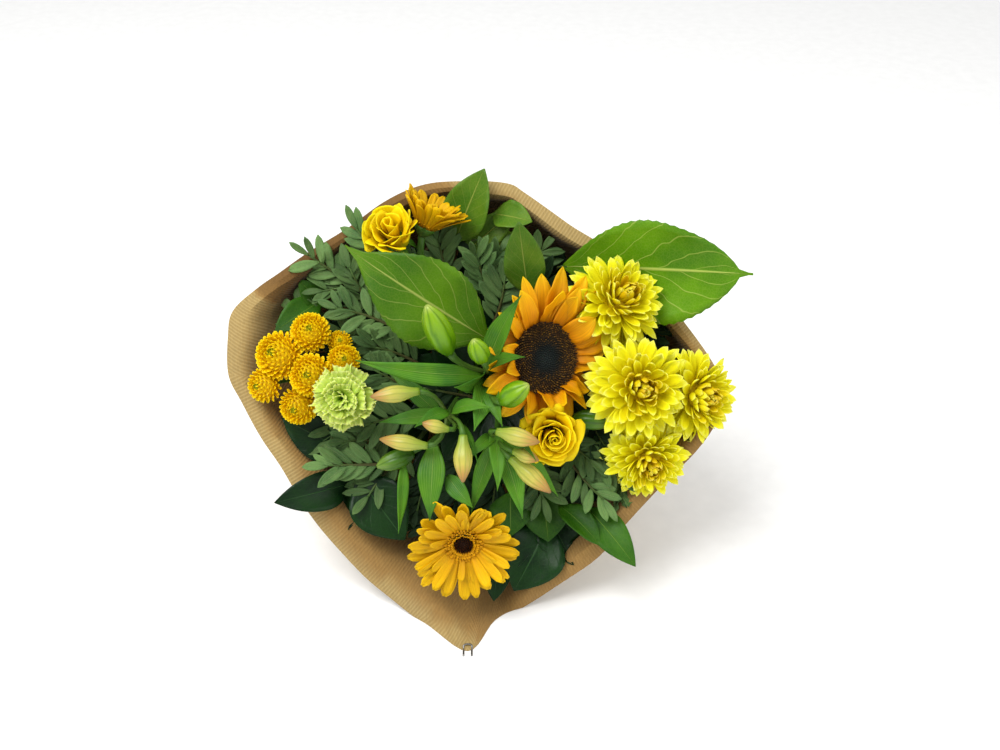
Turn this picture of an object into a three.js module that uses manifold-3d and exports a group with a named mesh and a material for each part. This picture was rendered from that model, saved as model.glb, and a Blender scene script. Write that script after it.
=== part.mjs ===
// A mixed bunch of cut flowers in a kraft paper wrapper, lying on a table with its stems to the
// back (+Y) and its flower face to the front (-Y) and up. Millimetres, +Z up.
//
// The flowers are laid out on the "face": a plane that leans back by FACE_LEAN, seen square on.
// A place on it is [right, up, out], counted from the middle of the face, and onFace() turns it
// into the part's own frame. Behind the face all stems run to one binding, where a tie holds them.

import * as THREE from 'three';
import { mergeVertices } from 'three/addons/utils/BufferGeometryUtils.js';
import Module from 'manifold-3d';

const wasm = await Module();
wasm.setup();

// ---------------------------------------------------------------- driving dimensions

const FACE_LEAN = 35;                 // degrees that the face looks up from level
const FACE_MIDDLE = [11.6, -157.2, 193];  // middle of the face in the part's frame
const AXIS_RISE = 23.3;               // degrees that the bundle of stems rises towards the face
const BINDING_DEPTH = 253;            // from the middle of the face back to the tie
const TIE_HALF = 22;                  // half of the straight run of the stems through the tie
const STEM_BELOW_TIE = 192.6;         // from the tie to the cut ends
const STEM_SPREAD = 1.22;             // how far the cut ends spread, against the tied bundle
const STEM_TWIST = 24;                // degrees that the stems turn round each other below the tie
const STEM_GAP = 0.6;                 // between neighbouring stems in the tie
const GAP = 0.35;                     // between touching pieces
const BLADE = 1.1;                    // thickness of a petal or leaf at its rib
const PAPER = 1.0;                    // thickness of the wrapper's wall
const WRAP_RADIUS = 31;               // wrapper at the tie
const STAPLE = { wire: 0.5, half: 3.2, leg: 5, notch: 5.5 }; // through the wrapper's tip
const REST_DEPTH = 26;                // flat patch of the wrapper on the table, behind its tip
const WRAP_TAIL = 96;                 // wrapper's reach past the tie, towards the cut ends

const SUNFLOWER = { disc: 27, petals: 11, stem: 4.6 };
const GERBERA = { eye: 7, stem: 2.6 };
const MUM = { petals: 27, stem: 2.8, twig: 1.7 };
const BUTTON = { stem: 2.3, twig: 1.2, low: 0.45 };
const ROSE = { height: 34, stem: 2.8 };
const CARNATION = { stem: 2.2 };
const LILY = { stem: 3.4, twig: 1.7 };
const ALSTROEMERIA = { stem: 2.6, twig: 1.3 };
const PISTACHE = { stem: 1.7, leaflet: 29, leafletWidth: 11 };
const SHALLON = { stem: 1.9 };

// ---------------------------------------------------------------- frames and directions

const rad = THREE.MathUtils.degToRad;
const vec = (list) => new THREE.Vector3(...list);
const RIGHT = vec([1, 0, 0]);
const UP_FACE = vec([0, Math.sin(rad(FACE_LEAN)), Math.cos(rad(FACE_LEAN))]);
const OUT_FACE = vec([0, -Math.cos(rad(FACE_LEAN)), Math.sin(rad(FACE_LEAN))]);
const AXIS = vec([0, -Math.cos(rad(AXIS_RISE)), Math.sin(rad(AXIS_RISE))]);
const AXIS_UP = vec([0, Math.sin(rad(AXIS_RISE)), Math.cos(rad(AXIS_RISE))]);
const BINDING = vec(FACE_MIDDLE).addScaledVector(AXIS, -BINDING_DEPTH);

function faceward([right, up, out]) {
  return new THREE.Vector3()
    .addScaledVector(RIGHT, right).addScaledVector(UP_FACE, up).addScaledVector(OUT_FACE, out);
}

function onFace(place) {
  return faceward(place).add(vec(FACE_MIDDLE));
}

// A point in the bundle: along the axis from the tie (+ towards the face), right and up.
function inBundle(along, [right, up]) {
  return BINDING.clone()
    .addScaledVector(AXIS, along).addScaledVector(RIGHT, right).addScaledVector(AXIS_UP, up);
}

// Matrix that stands local +Y on `along` and local +Z as near to `facing` as it can be.
function frameAt(origin, along, facing) {
  const y = along.clone().normalize();
  const z = facing.clone().addScaledVector(y, -facing.dot(y)).normalize();
  const x = new THREE.Vector3().crossVectors(y, z);
  return new THREE.Matrix4().makeBasis(x, y, z).setPosition(origin);
}

// Matrix that stands local +Z on the direction in which a bloom looks.
function bloomFrame(origin, aim) {
  const z = aim.clone().normalize();
  const y = UP_FACE.clone().addScaledVector(z, -UP_FACE.dot(z)).normalize();
  const x = new THREE.Vector3().crossVectors(y, z);
  return new THREE.Matrix4().makeBasis(x, y, z).setPosition(origin);
}

// Seeded random numbers in 0..1.
function dice(seed) {
  let state = seed * 2654435761 >>> 0;
  return () => {
    state = (state + 0x6d2b79f5) >>> 0;
    let mix = Math.imul(state ^ (state >>> 15), 1 | state);
    mix = (mix + Math.imul(mix ^ (mix >>> 7), 61 | mix)) ^ mix;
    return ((mix ^ (mix >>> 14)) >>> 0) / 4294967296;
  };
}

// ---------------------------------------------------------------- solids

function geometryOf(points, faces) {
  const geometry = new THREE.BufferGeometry();
  geometry.setAttribute('position', new THREE.Float32BufferAttribute(points.flatMap((p) => [...p]), 3));
  geometry.setIndex(faces.flat());
  return geometry;
}

function solidOf(geometry) {
  const bare = geometry.clone();
  bare.deleteAttribute('normal');
  bare.deleteAttribute('uv');
  const merged = mergeVertices(bare, 1e-4);
  const triVerts = [];
  for (let corner = 0; corner < merged.index.count; corner += 3) {
    const [a, b, c] = merged.index.array.slice(corner, corner + 3);
    if (a !== b && b !== c && c !== a) {
      triVerts.push(a, b, c);
    }
  }
  return new wasm.Manifold(new wasm.Mesh({
    numProp: 3,
    vertProperties: new Float32Array(merged.attributes.position.array),
    triVerts: new Uint32Array(triVerts),
  }));
}

function joined(geometries) {
  return geometries.map(solidOf).reduce((whole, piece) => whole.add(piece));
}

const bouquet = new THREE.Group();

function addPiece(name, geometries, material, matrix) {
  addSolid(name, joined(geometries), material, matrix);
}

function addSolid(name, solid, material, matrix) {
  const skin = solid.getMesh();
  const geometry = new THREE.BufferGeometry();
  geometry.setAttribute('position', new THREE.BufferAttribute(skin.vertProperties, 3));
  geometry.setIndex(new THREE.BufferAttribute(skin.triVerts, 1));
  const mesh = new THREE.Mesh(geometry, material);
  mesh.name = name;
  if (matrix) {
    matrix.decompose(mesh.position, mesh.quaternion, mesh.scale);
  }
  bouquet.add(mesh);
}

// A thin blade: root at the origin, length along +Y, face to +Z. `form` gives its half widths,
// row by row, as shares of width / 2; the last row is a point, or with `blunt` a sharp edge.
// Both faces are split alike and share the rim, so a waved blade never crosses itself. A `flat`
// blade has a ridge on its face and a plain back; `belly` below 1 moves its widest part outwards.
function blade({
  length, width, form, cols = 2, thick = BLADE, blunt = false, flat = false,
  arch = 0, curl = 0, fold = 0, wave = 0, waves = 2, teeth = 0, belly = 1,
}) {
  const rows = blunt ? form.length - 1 : form.length;
  const points = [];
  const faces = [];
  const addPoint = (p) => points.push(p) - 1;
  const surface = (t, s, half, shift) => {
    const slope = arch * 4 * (1 - 2 * t) + 2 * curl * t;
    const normal = new THREE.Vector3(0, -slope, 1).normalize();
    const ripple = wave * Math.sin(Math.PI * 2 * waves * t + (s > 0 ? 1.3 : 0));
    const rise = (fold * Math.abs(s) + ripple * s * s) * half + shift;
    return new THREE.Vector3(s * half, length * t,
      length * (arch * 4 * t * (1 - t) + curl * t * t)).addScaledVector(normal, rise);
  };
  const grid = [];
  for (let row = 0; row <= rows; row += 1) {
    const t = (row / rows) ** belly;
    if (!blunt && row === rows) {
      const tip = addPoint(surface(1, 0, 0, 0));
      grid.push({ top: new Array(cols + 1).fill(tip), back: new Array(cols + 1).fill(tip) });
      continue;
    }
    const bite = teeth && row % 2 ? 1 - teeth : 1;
    const half = width / 2 * form[row] * bite;
    const line = { top: [], back: [] };
    for (let col = 0; col <= cols; col += 1) {
      const s = col / cols * 2 - 1;
      const sharp = Math.abs(s) === 1 || (blunt && row === rows);
      const ridge = flat ? thick : thick / 2;
      const front = addPoint(surface(t, s, half, sharp ? 0 : ridge));
      line.top.push(front);
      line.back.push(sharp || flat ? front : addPoint(surface(t, s, half, -thick / 2)));
    }
    grid.push(line);
  }
  const addFace = (a, b, c) => {
    if (a !== b && b !== c && c !== a) {
      faces.push([a, b, c]);
    }
  };
  const root = grid[0];
  for (let row = 0; row < rows; row += 1) {
    const [near, far] = [grid[row], grid[row + 1]];
    for (let col = 0; col < cols; col += 1) {
      addFace(near.top[col], near.top[col + 1], far.top[col + 1]);
      addFace(near.top[col], far.top[col + 1], far.top[col]);
    }
    const step = flat ? cols : 1;
    for (let col = 0; col < cols; col += step) {
      addFace(near.back[col], far.back[col + step], near.back[col + step]);
      addFace(near.back[col], far.back[col], far.back[col + step]);
    }
  }
  if (flat) {
    addFace(root.top[0], root.top[2], root.top[1]);
    return geometryOf(points, faces);
  }
  for (let col = 0; col < cols; col += 1) {
    addFace(root.back[col], root.back[col + 1], root.top[col + 1]);
    addFace(root.back[col], root.top[col + 1], root.top[col]);
  }
  return geometryOf(points, faces);
}

// Half widths of common blades, as shares of their full half width.
const PETAL_FORM = [0.4, 0.95, 0.85];
const STRAP_FORM = [0.45, 1];
const LANCE_FORM = [0.16, 0.9, 0.72];
const OVATE_FORM = [0.08, 0.8, 1, 0.66];
const OVATE_FINE = [0.05, 0.44, 0.76, 0.94, 1, 0.96, 0.84, 0.66, 0.44, 0.22];

// A leaf between two places on the face; `facing` is the way its upper side looks.
function leafBetween(base, tip, width, facing, shape) {
  const [from, to] = [onFace(base), onFace(tip)];
  const along = to.clone().sub(from);
  const leaf = blade({ length: along.length(), width, form: OVATE_FORM, flat: true, ...shape });
  return leaf.applyMatrix4(frameAt(from, along, faceward(facing)));
}

// A curve that is sampled at its own points only, so that rings of a tube lie where they are set.
class Route extends THREE.CatmullRomCurve3 {
  getPointAt(share, target) {
    return this.getPoint(share, target);
  }

  getTangentAt(share, target) {
    return this.getTangent(share, target);
  }
}

function tube(points, radius, sides = radius > 2.5 ? 5 : 4) {
  const section = new THREE.Shape();
  for (let side = 0; side < sides; side += 1) {
    const angle = Math.PI * 2 * side / sides;
    const [x, y] = [radius * Math.cos(angle), radius * Math.sin(angle)];
    side === 0 ? section.moveTo(x, y) : section.lineTo(x, y);
  }
  const extrudePath = new Route(points, false, 'centripetal');
  return new THREE.ExtrudeGeometry(section, {
    steps: points.length - 1, extrudePath, bevelEnabled: false,
  });
}

function turned(profile, segments) {
  return new THREE.LatheGeometry(profile.map(([r, h]) => new THREE.Vector2(r, h)), segments)
    .rotateX(Math.PI / 2);
}

// A bud or a bead: a pointed body with ridges, from `base` to `tip`.
function bud(base, tip, radius, sides = 6, profile = [0.55, 0.95, 1, 0.62]) {
  const along = tip.clone().sub(base);
  const points = [new THREE.Vector3()];
  const rings = profile.length;
  profile.forEach((share, ring) => {
    for (let side = 0; side < sides; side += 1) {
      const angle = Math.PI * 2 * side / sides;
      const ridge = side % 2 ? 0.84 : 1;
      const r = radius * share * ridge;
      const t = 0.07 + 0.83 * ring / (rings - 1);
      points.push(new THREE.Vector3(r * Math.cos(angle), along.length() * t, r * Math.sin(angle)));
    }
  });
  const last = points.push(new THREE.Vector3(0, along.length(), 0)) - 1;
  const at = (ring, side) => 1 + ring * sides + side % sides;
  const faces = [];
  for (let side = 0; side < sides; side += 1) {
    faces.push([0, at(0, side), at(0, side + 1)]);
    faces.push([last, at(rings - 1, side + 1), at(rings - 1, side)]);
    for (let ring = 0; ring < rings - 1; ring += 1) {
      faces.push([at(ring, side), at(ring + 1, side), at(ring + 1, side + 1)]);
      faces.push([at(ring, side), at(ring + 1, side + 1), at(ring, side + 1)]);
    }
  }
  return geometryOf(points, faces).applyMatrix4(frameAt(base, along, OUT_FACE));
}

// A dome with a flat base at z = 0 whose skin is raised in studs; reach(direction) may shorten it.
function studdedDome({ radius, base, low, rings, segments, stud, reach = () => Infinity }) {
  const centre = new THREE.Vector3(0, 0, radius * low);
  const points = [new THREE.Vector3(0, 0, radius * low + Math.min(radius, reach(vec([0, 0, 1]))))];
  for (let ring = 1; ring <= rings; ring += 1) {
    const polar = rad(118) * ring / rings;
    for (let side = 0; side < segments; side += 1) {
      const angle = Math.PI * 2 * (side + (ring % 2) / 2) / segments;
      const way = vec([Math.sin(polar) * Math.cos(angle), Math.sin(polar) * Math.sin(angle), Math.cos(polar)]);
      const raised = ring < rings && (ring + side) % 2 === 0 ? stud : 0;
      const out = Math.min(radius + raised, reach(way));
      const place = centre.clone().addScaledVector(way, out);
      place.z = Math.max(place.z, 0.6);
      points.push(place);
    }
  }
  for (let side = 0; side < segments; side += 1) {
    const angle = Math.PI * 2 * side / segments;
    points.push(new THREE.Vector3(base * Math.cos(angle), base * Math.sin(angle), 0));
  }
  const faces = [];
  const at = (ring, side) => 1 + (ring - 1) * segments + (side + segments) % segments;
  for (let side = 0; side < segments; side += 1) {
    faces.push([0, at(1, side), at(1, side + 1)]);
    for (let ring = 1; ring <= rings; ring += 1) {
      const lead = ring === rings ? rings % 2 : ring % 2;
      if (lead) {
        faces.push([at(ring, side), at(ring + 1, side), at(ring + 1, side + 1)]);
        faces.push([at(ring, side), at(ring + 1, side + 1), at(ring, side + 1)]);
      } else {
        faces.push([at(ring, side), at(ring + 1, side), at(ring, side + 1)]);
        faces.push([at(ring, side + 1), at(ring + 1, side), at(ring + 1, side + 1)]);
      }
    }
  }
  const floor = points.push(new THREE.Vector3()) - 1;
  for (let side = 0; side < segments; side += 1) {
    faces.push([floor, at(rings + 1, side + 1), at(rings + 1, side)]);
  }
  return geometryOf(points, faces);
}

// ---------------------------------------------------------------- materials

function finish(color, roughness = 0.7) {
  return new THREE.MeshStandardMaterial({ color, roughness, metalness: 0, side: THREE.FrontSide });
}

const FINISH = {
  paper: finish(0xc9a96e, 0.9),
  wire: new THREE.MeshStandardMaterial({ color: 0x6b6a66, roughness: 0.4, metalness: 1 }),
  twine: finish(0xd8c79a, 0.95),
  sunflowerPetal: finish(0xf7a90a),
  sunflowerDisc: finish(0x2a1a0c, 0.9),
  gerberaPetal: finish(0xf3b807),
  gerberaEye: finish(0x2b1508, 0.9),
  rosePetal: finish(0xf6cf1c),
  mumPetal: finish(0xf2e529),
  buttonPetal: finish(0xefb004),
  carnationPetal: finish(0xc9e26b),
  alstroemeriaBud: finish(0xd6c86a),
  stem: finish(0x5f8a3a),
  lilyGreen: finish(0x4f8f2c, 0.5),
  leaf: finish(0x2f6b26, 0.5),
  paleLeaf: finish(0x5c9a35, 0.5),
  pistache: finish(0x54794a, 0.6),
};

// ---------------------------------------------------------------- the bundle of stems

// Every stem: its radius, and the place on the face that it grows towards.
const STEMS = {
  sunflower: { radius: SUNFLOWER.stem, towards: [34, 13] },
  gerbera_front: { radius: GERBERA.stem, towards: [-28, -125] },
  gerbera_back: { radius: GERBERA.stem, towards: [-56, 112] },
  rose_top: { radius: ROSE.stem, towards: [-84, 106] },
  rose_middle: { radius: ROSE.stem, towards: [38, -44] },
  mum_upper: { radius: MUM.stem, towards: [98, 40] },
  mum_lower: { radius: MUM.stem, towards: [135, -40] },
  button: { radius: BUTTON.stem, towards: [-155, 6] },
  carnation: { radius: CARNATION.stem, towards: [-112, -18] },
  lily_middle: { radius: LILY.stem, towards: [-14, 2] },
  lily_left: { radius: LILY.twig, towards: [-66, -58] },
  lily_right: { radius: LILY.twig, towards: [62, -28] },
  alstroemeria_left: { radius: ALSTROEMERIA.stem, towards: [-40, -34] },
  alstroemeria_right: { radius: ALSTROEMERIA.stem, towards: [0, -52] },
  pistache_rim: { radius: PISTACHE.stem, towards: [-135, 84] },
  pistache_upper: { radius: PISTACHE.stem, towards: [-100, 92] },
  pistache_inner: { radius: PISTACHE.stem, towards: [-104, 44] },
  pistache_top: { radius: PISTACHE.stem, towards: [-14, 80] },
  pistache_left: { radius: PISTACHE.stem, towards: [-105, -66] },
  pistache_right: { radius: PISTACHE.stem, towards: [54, -66] },
  leaf_big_left: { radius: SHALLON.stem, towards: [-30, 34] },
  leaf_big_right: { radius: SHALLON.stem, towards: [52, 92] },
  leaf_spotted: { radius: SHALLON.stem, towards: [20, 76] },
  shallon_top: { radius: SHALLON.stem, towards: [-10, 128] },
  shallon_corner: { radius: SHALLON.stem, towards: [-150, 60] },
  shallon_left: { radius: SHALLON.stem, towards: [-125, -84] },
  shallon_bottom: { radius: SHALLON.stem, towards: [8, -130] },
  shallon_right: { radius: SHALLON.stem, towards: [60, -112] },
};

// Stems start at a shrunken picture of the face and push each other apart until none touch,
// so that they fan out to their flowers without crossing.
function packBundle() {
  const names = Object.keys(STEMS);
  const places = names.map((name) => STEMS[name].towards.map((x) => x * 0.11));
  for (let round = 0; round < 900; round += 1) {
    const pull = round < 700 ? 0.995 : 1;
    places.forEach((place) => {
      place[0] *= pull;
      place[1] *= pull;
    });
    for (let one = 0; one < names.length; one += 1) {
      for (let two = one + 1; two < names.length; two += 1) {
        const [dx, dy] = [places[two][0] - places[one][0], places[two][1] - places[one][1]];
        const far = Math.hypot(dx, dy);
        const short = STEMS[names[one]].radius + STEMS[names[two]].radius + STEM_GAP - far;
        if (short > 0) {
          const push = short / 2 / far;
          places[one][0] -= dx * push;
          places[one][1] -= dy * push;
          places[two][0] += dx * push;
          places[two][1] += dy * push;
        }
      }
    }
  }
  return Object.fromEntries(names.map((name, index) => [name, places[index]]));
}

const BUNDLE = packBundle();
const BUNDLE_RADIUS = Math.max(
  ...Object.entries(BUNDLE).map(([name, place]) => Math.hypot(...place) + STEMS[name].radius),
);

// The route of a stem from its cut end through the tie to `base`, where it points along `aim`.
function stemRoute(name, base, aim, bend = 45) {
  const place = BUNDLE[name];
  const [cos, sin] = [Math.cos(rad(STEM_TWIST)), Math.sin(rad(STEM_TWIST))];
  const cutEnd = [place[0] * cos - place[1] * sin, place[0] * sin + place[1] * cos];
  const start = inBundle(TIE_HALF, place);
  const fan = new THREE.CubicBezierCurve3(
    start,
    start.clone().addScaledVector(AXIS, 70),
    base.clone().addScaledVector(aim, -bend),
    base,
  );
  return [
    inBundle(-STEM_BELOW_TIE, cutEnd.map((x) => x * STEM_SPREAD)),
    inBundle(-TIE_HALF, place),
    ...fan.getPoints(4),
  ];
}

function stemTube(name, base, aim, bend) {
  return tube(stemRoute(name, base, aim, bend), STEMS[name].radius);
}

// A side shoot: leaves `from` and reaches `base` pointing along `aim`.
function twig(from, base, aim, radius, bend = 22) {
  const curve = new THREE.QuadraticBezierCurve3(from, base.clone().addScaledVector(aim, -bend), base);
  return tube(curve.getPoints(2), radius, radius > BUTTON.twig ? 4 : 3);
}

// A leaf on its stalk, which starts inside the stem at `from`.
function stalkedLeaf(from, base, tip, width, facing, shape = {}) {
  const [foot, joint, end] = [onFace(from), onFace(base), onFace(tip)];
  const into = joint.clone().addScaledVector(end.sub(joint).normalize(), 5);
  return [
    tube([foot, joint, into], 1.2, 4),
    leafBetween(base, tip, width, facing, shape),
  ];
}

// ---------------------------------------------------------------- blooms

// How far a bloom may reach in a direction before it meets the plane between it and a neighbour.
function reachBetween({ at, size, limits = [] }, frame, neighbours) {
  const turn = new THREE.Matrix4().extractRotation(frame);
  const planes = neighbours.map((other) => {
    const way = onFace(other.at).sub(onFace(at));
    const far = way.length();
    return { way: way.normalize(), depth: far * size / (size + other.size) - 1.6 };
  });
  limits.forEach(([way, depth]) => planes.push({ way: faceward(way).normalize(), depth }));
  return (direction) => {
    const world = direction.clone().applyMatrix4(turn);
    return Math.min(...planes.map(({ way, depth }) => {
      const part = world.dot(way);
      return part > 0.05 ? depth / part : Infinity;
    }), Infinity);
  };
}

// A petal that starts `from` the axis at height `height` and leans up by `lift` degrees.
function petalAt({ turn, from, height, lift, ...shape }) {
  return blade({ form: PETAL_FORM, ...shape })
    .rotateX(rad(lift)).translate(0, from, height).rotateZ(turn);
}

function petalRing(count, phase, petal, reach) {
  const ring = [];
  const toss = dice(count * 31 + Math.round(phase * 10));
  for (let index = 0; index < count; index += 1) {
    const turn = Math.PI * 2 * (index + phase) / count;
    const lift = petal.lift + (toss() - 0.5) * 8;
    const way = vec([-Math.sin(turn) * Math.cos(rad(lift)), Math.cos(turn) * Math.cos(rad(lift)),
      Math.sin(rad(lift))]);
    const wanted = petal.length * (0.93 + toss() * 0.14);
    const length = Math.max(wanted * 0.2, Math.min(wanted, reach(way) - petal.from));
    ring.push(petalAt({ ...petal, turn, lift, length }));
  }
  return ring;
}

function sunflower() {
  const { at, aim } = HEADS.sunflower;
  const centre = onFace(at);
  const way = faceward(aim).normalize();
  const frame = bloomFrame(centre, way);
  const reach = reachBetween(HEADS.sunflower, frame, [HEADS.mum_a, HEADS.mum_b, HEADS.rose_middle]);
  const outer = { from: 25.5, height: -4.4, lift: 10, length: 40.5, width: 16, curl: 0.12, fold: 0.12 };
  const inner = { from: 26, height: -3.8, lift: 32, length: 32, width: 15, form: STRAP_FORM };
  addPiece('sunflower_petals', [
    turned([[0, -6], [26.5, -6], [29.3, -3.8], [26.5, -1.6], [0, -1.6]], 12),
    ...petalRing(SUNFLOWER.petals, 0, outer, reach),
    ...petalRing(SUNFLOWER.petals, 0.5, inner, reach),
  ], FINISH.sunflowerPetal, frame);

  addPiece('sunflower_disc', [floretDisc(SUNFLOWER.disc - 0.8, 7, 1.1, 18, 5)],
    FINISH.sunflowerDisc, bloomFrame(centre.clone().addScaledVector(way, -1.6 + GAP), way));

  const base = centre.clone().addScaledVector(way, -14);
  const bracts = [];
  for (let index = 0; index < 11; index += 1) {
    bracts.push(petalAt({ turn: Math.PI * 2 * index / 11, from: 15, height: -9, lift: 2,
      length: 18, width: 9, form: [0.7], flat: true }).applyMatrix4(frame));
  }
  addPiece('sunflower_stem', [
    turned([[0, -15], [6, -14], [21, -8.4], [21, -6 - GAP], [0, -6 - GAP]], 8).applyMatrix4(frame),
    stemTube('sunflower', base, way, 70),
    ...bracts,
  ], FINISH.stem);
}

// A flat-based cushion of florets in rings, each second one raised.
function floretDisc(radius, height, stud, segments, rings) {
  const profile = [[0, 0], [radius, 0]];
  for (let ring = 0; ring < rings; ring += 1) {
    const share = 1 - ring / rings;
    profile.push([radius * share, height * (0.45 + 0.55 * Math.cos(Math.PI / 2 * share * share))]);
  }
  profile.push([0, height * 0.72]);
  const disc = turned(profile, segments);
  const place = disc.attributes.position;
  const step = Math.PI * 2 / segments;
  for (let index = 0; index < place.count; index += 1) {
    const [x, y, z] = [place.getX(index), place.getY(index), place.getZ(index)];
    const far = Math.hypot(x, y);
    const ring = Math.round((1 - far / radius) * rings);
    const side = Math.round(Math.atan2(x, -y) / step);
    if (z > 0.1 && far > 0.1 && (ring + side) % 2 === 0) {
      place.setZ(index, z + stud);
    }
  }
  return disc;
}

function gerbera(name, count, lifts, neighbours) {
  const { at, aim, scale = 1 } = HEADS[name];
  const centre = onFace(at);
  const way = faceward(aim).normalize();
  const frame = bloomFrame(centre, way).scale(new THREE.Vector3(scale, scale, scale));
  const reach = reachBetween(HEADS[name], frame, neighbours);
  const outer = { from: 10.5, height: -3, lift: lifts[0], length: 33, width: 8.5, curl: 0.1 };
  const inner = { from: 11, height: -2, lift: lifts[1], length: 27, width: 7.5,
    form: STRAP_FORM, flat: true };
  const florets = { from: 9.6, height: -1.4, lift: 62, length: 7.5, width: 4.6,
    form: STRAP_FORM, flat: true };
  addPiece(`${name}_petals`, [
    turned([[0, -4], [11, -4], [12.4, -0.4], [0, -0.4]], 8),
    ...petalRing(count, 0, { ...outer, form: [0.3, 0.95, 0.85], flat: true }, reach),
    ...petalRing(count, 0.5, inner, reach),
    ...petalRing(8, 0, florets, () => Infinity),
  ], FINISH.gerberaPetal, frame);
  addPiece(`${name}_eye`, [floretDisc(GERBERA.eye, 4, 0.7, 14, 3)],
    FINISH.gerberaEye, bloomFrame(centre.clone().addScaledVector(way, (-0.4 + GAP) * scale), way)
      .scale(new THREE.Vector3(scale, scale, scale)));
  const base = centre.clone().addScaledVector(way, -12 * scale);
  addPiece(`${name}_stem`, [
    turned([[0, -13], [3.5, -12], [8, -8], [9.5, -4 - GAP], [0, -4 - GAP]], 10).applyMatrix4(frame),
    stemTube(name, base, way, 40),
  ], FINISH.stem);
}

// A rose petal: part of a cup round the bloom's axis, with its lip rolled out.
function rosePetal({ turn, span, near, far, height, roll, drift }) {
  const [rows, cols] = [3, 3];
  const points = [];
  const faces = [];
  const grid = [];
  for (let row = 0; row <= rows; row += 1) {
    const t = row / rows;
    const open = near + (far - near) * Math.sin(Math.PI / 2 * t);
    const line = { out: [], inn: [] };
    for (let col = 0; col <= cols; col += 1) {
      const s = col / cols * 2 - 1;
      const peak = 1 - 0.22 * s * s;
      const angle = turn + rad(span / 2) * s * (0.62 + 0.38 * Math.sin(Math.PI * 0.5 * (0.25 + t)));
      const mid = open + drift * s + roll * Math.max(0, t - 0.6) * 2.5;
      const level = height * t * peak - (t === 1 ? roll * 0.45 : 0);
      const thin = Math.abs(s) === 1 || row === rows;
      const place = (r) => points.push(
        new THREE.Vector3(r * Math.cos(angle), r * Math.sin(angle), level)) - 1;
      const outside = place(mid + (thin ? 0 : BLADE / 2));
      line.out.push(outside);
      line.inn.push(thin ? outside : place(mid - BLADE / 2));
    }
    grid.push(line);
  }
  const addFace = (a, b, c) => {
    if (a !== b && b !== c && c !== a) {
      faces.push([a, b, c]);
    }
  };
  for (let col = 0; col < cols; col += 1) {
    for (let row = 0; row < rows; row += 1) {
      const [low, high] = [grid[row], grid[row + 1]];
      addFace(low.out[col], low.out[col + 1], high.out[col + 1]);
      addFace(low.out[col], high.out[col + 1], high.out[col]);
      addFace(low.inn[col], high.inn[col + 1], low.inn[col + 1]);
      addFace(low.inn[col], high.inn[col], high.inn[col + 1]);
    }
    const foot = grid[0];
    addFace(foot.out[col], foot.inn[col], foot.inn[col + 1]);
    addFace(foot.out[col], foot.inn[col + 1], foot.out[col + 1]);
  }
  return geometryOf(points, faces);
}

function rose(name, layers) {
  const { at, aim } = HEADS[name];
  const way = faceward(aim).normalize();
  const foot = onFace(at).addScaledVector(way, -ROSE.height * 0.62);
  const frame = bloomFrame(foot, way);
  const petals = [];
  layers.forEach(({ count, near, far, height, roll, span, phase }) => {
    for (let index = 0; index < count; index += 1) {
      petals.push(rosePetal({ turn: Math.PI * 2 * (index + phase) / count, span, near, far, height,
        roll, drift: 1.4 }));
    }
  });
  const heart = [[0, 0], [9, 0], [10.5, 3], [7.4, 16], [4.6, 27], [0, 25]];
  addPiece(`${name}_petals`, [turned(heart, 7), ...petals], FINISH.rosePetal, frame);

  const sepals = [];
  for (let index = 0; index < 5; index += 1) {
    sepals.push(petalAt({ turn: Math.PI * 2 * index / 5, from: 4, height: -3, lift: -38,
      length: 15, width: 6, form: STRAP_FORM, curl: 0.2 }).applyMatrix4(frame));
  }
  addPiece(`${name}_stem`, [
    turned([[0, -10], [4.5, -8], [6, -GAP], [0, -GAP]], 8).applyMatrix4(frame),
    stemTube(name, foot.clone().addScaledVector(way, -8), way, 55),
    ...sepals,
  ], FINISH.stem);
}

function neighboursOf(name, clusters) {
  return Object.entries(HEADS)
    .filter(([other, head]) => other !== name && clusters.includes(head.cluster))
    .map(([, head]) => head);
}

// A chrysanthemum head: straps all over a small heart, longest at the rim, curling inwards.
function chrysanthemum(name) {
  const { at, aim, size } = HEADS[name];
  const centre = onFace(at);
  const way = faceward(aim).normalize();
  const lift = size * 0.34;
  const frame = bloomFrame(centre.clone().addScaledVector(way, -lift), way);
  const reach = reachBetween(HEADS[name], frame, neighboursOf(name, ['mum', 'sunflower']));
  const heart = size * 0.36;
  const toss = dice(name.charCodeAt(4));
  const straps = [];
  for (let index = 0; index < MUM.petals; index += 1) {
    const share = (index + 0.5) / MUM.petals;
    const polar = rad(6 + 104 * share ** 0.85);
    const turn = index * 2.39996 + toss() * 0.25;
    const out = vec([Math.sin(polar) * Math.cos(turn), Math.sin(polar) * Math.sin(turn),
      Math.cos(polar)]);
    const outwards = vec([0, 0, -1]).addScaledVector(out, out.z);
    const wanted = size * (0.66 + 0.34 * Math.sin(polar)) * (0.92 + toss() * 0.12);
    const length = Math.max(heart * 0.5, Math.min(wanted, reach(out) - 2) - heart * 0.7);
    const root = vec([0, 0, lift]).addScaledVector(out, heart * 0.7);
    straps.push(blade({ length, width: size * 0.33, form: [0.25, 1], belly: 0.55, curl: -0.25,
      flat: true, thick: 1.5 }).applyMatrix4(frameAt(root, out, outwards)));
  }
  const ball = [[0, 0], [heart * 0.45, 0], [heart, lift], [heart * 0.7, lift + heart * 0.7],
    [0, lift + heart]];
  addPiece(`${name}_head`, [turned(ball, 6), ...straps], FINISH.mumPetal, frame);
  return { frame, way };
}

// The green cup under a head and the end of its twig.
function cupUnder(frame, radius) {
  return turned([[0, -5], [radius * 0.45, -5], [radius, -GAP], [0, -GAP]], 6).applyMatrix4(frame);
}

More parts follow.
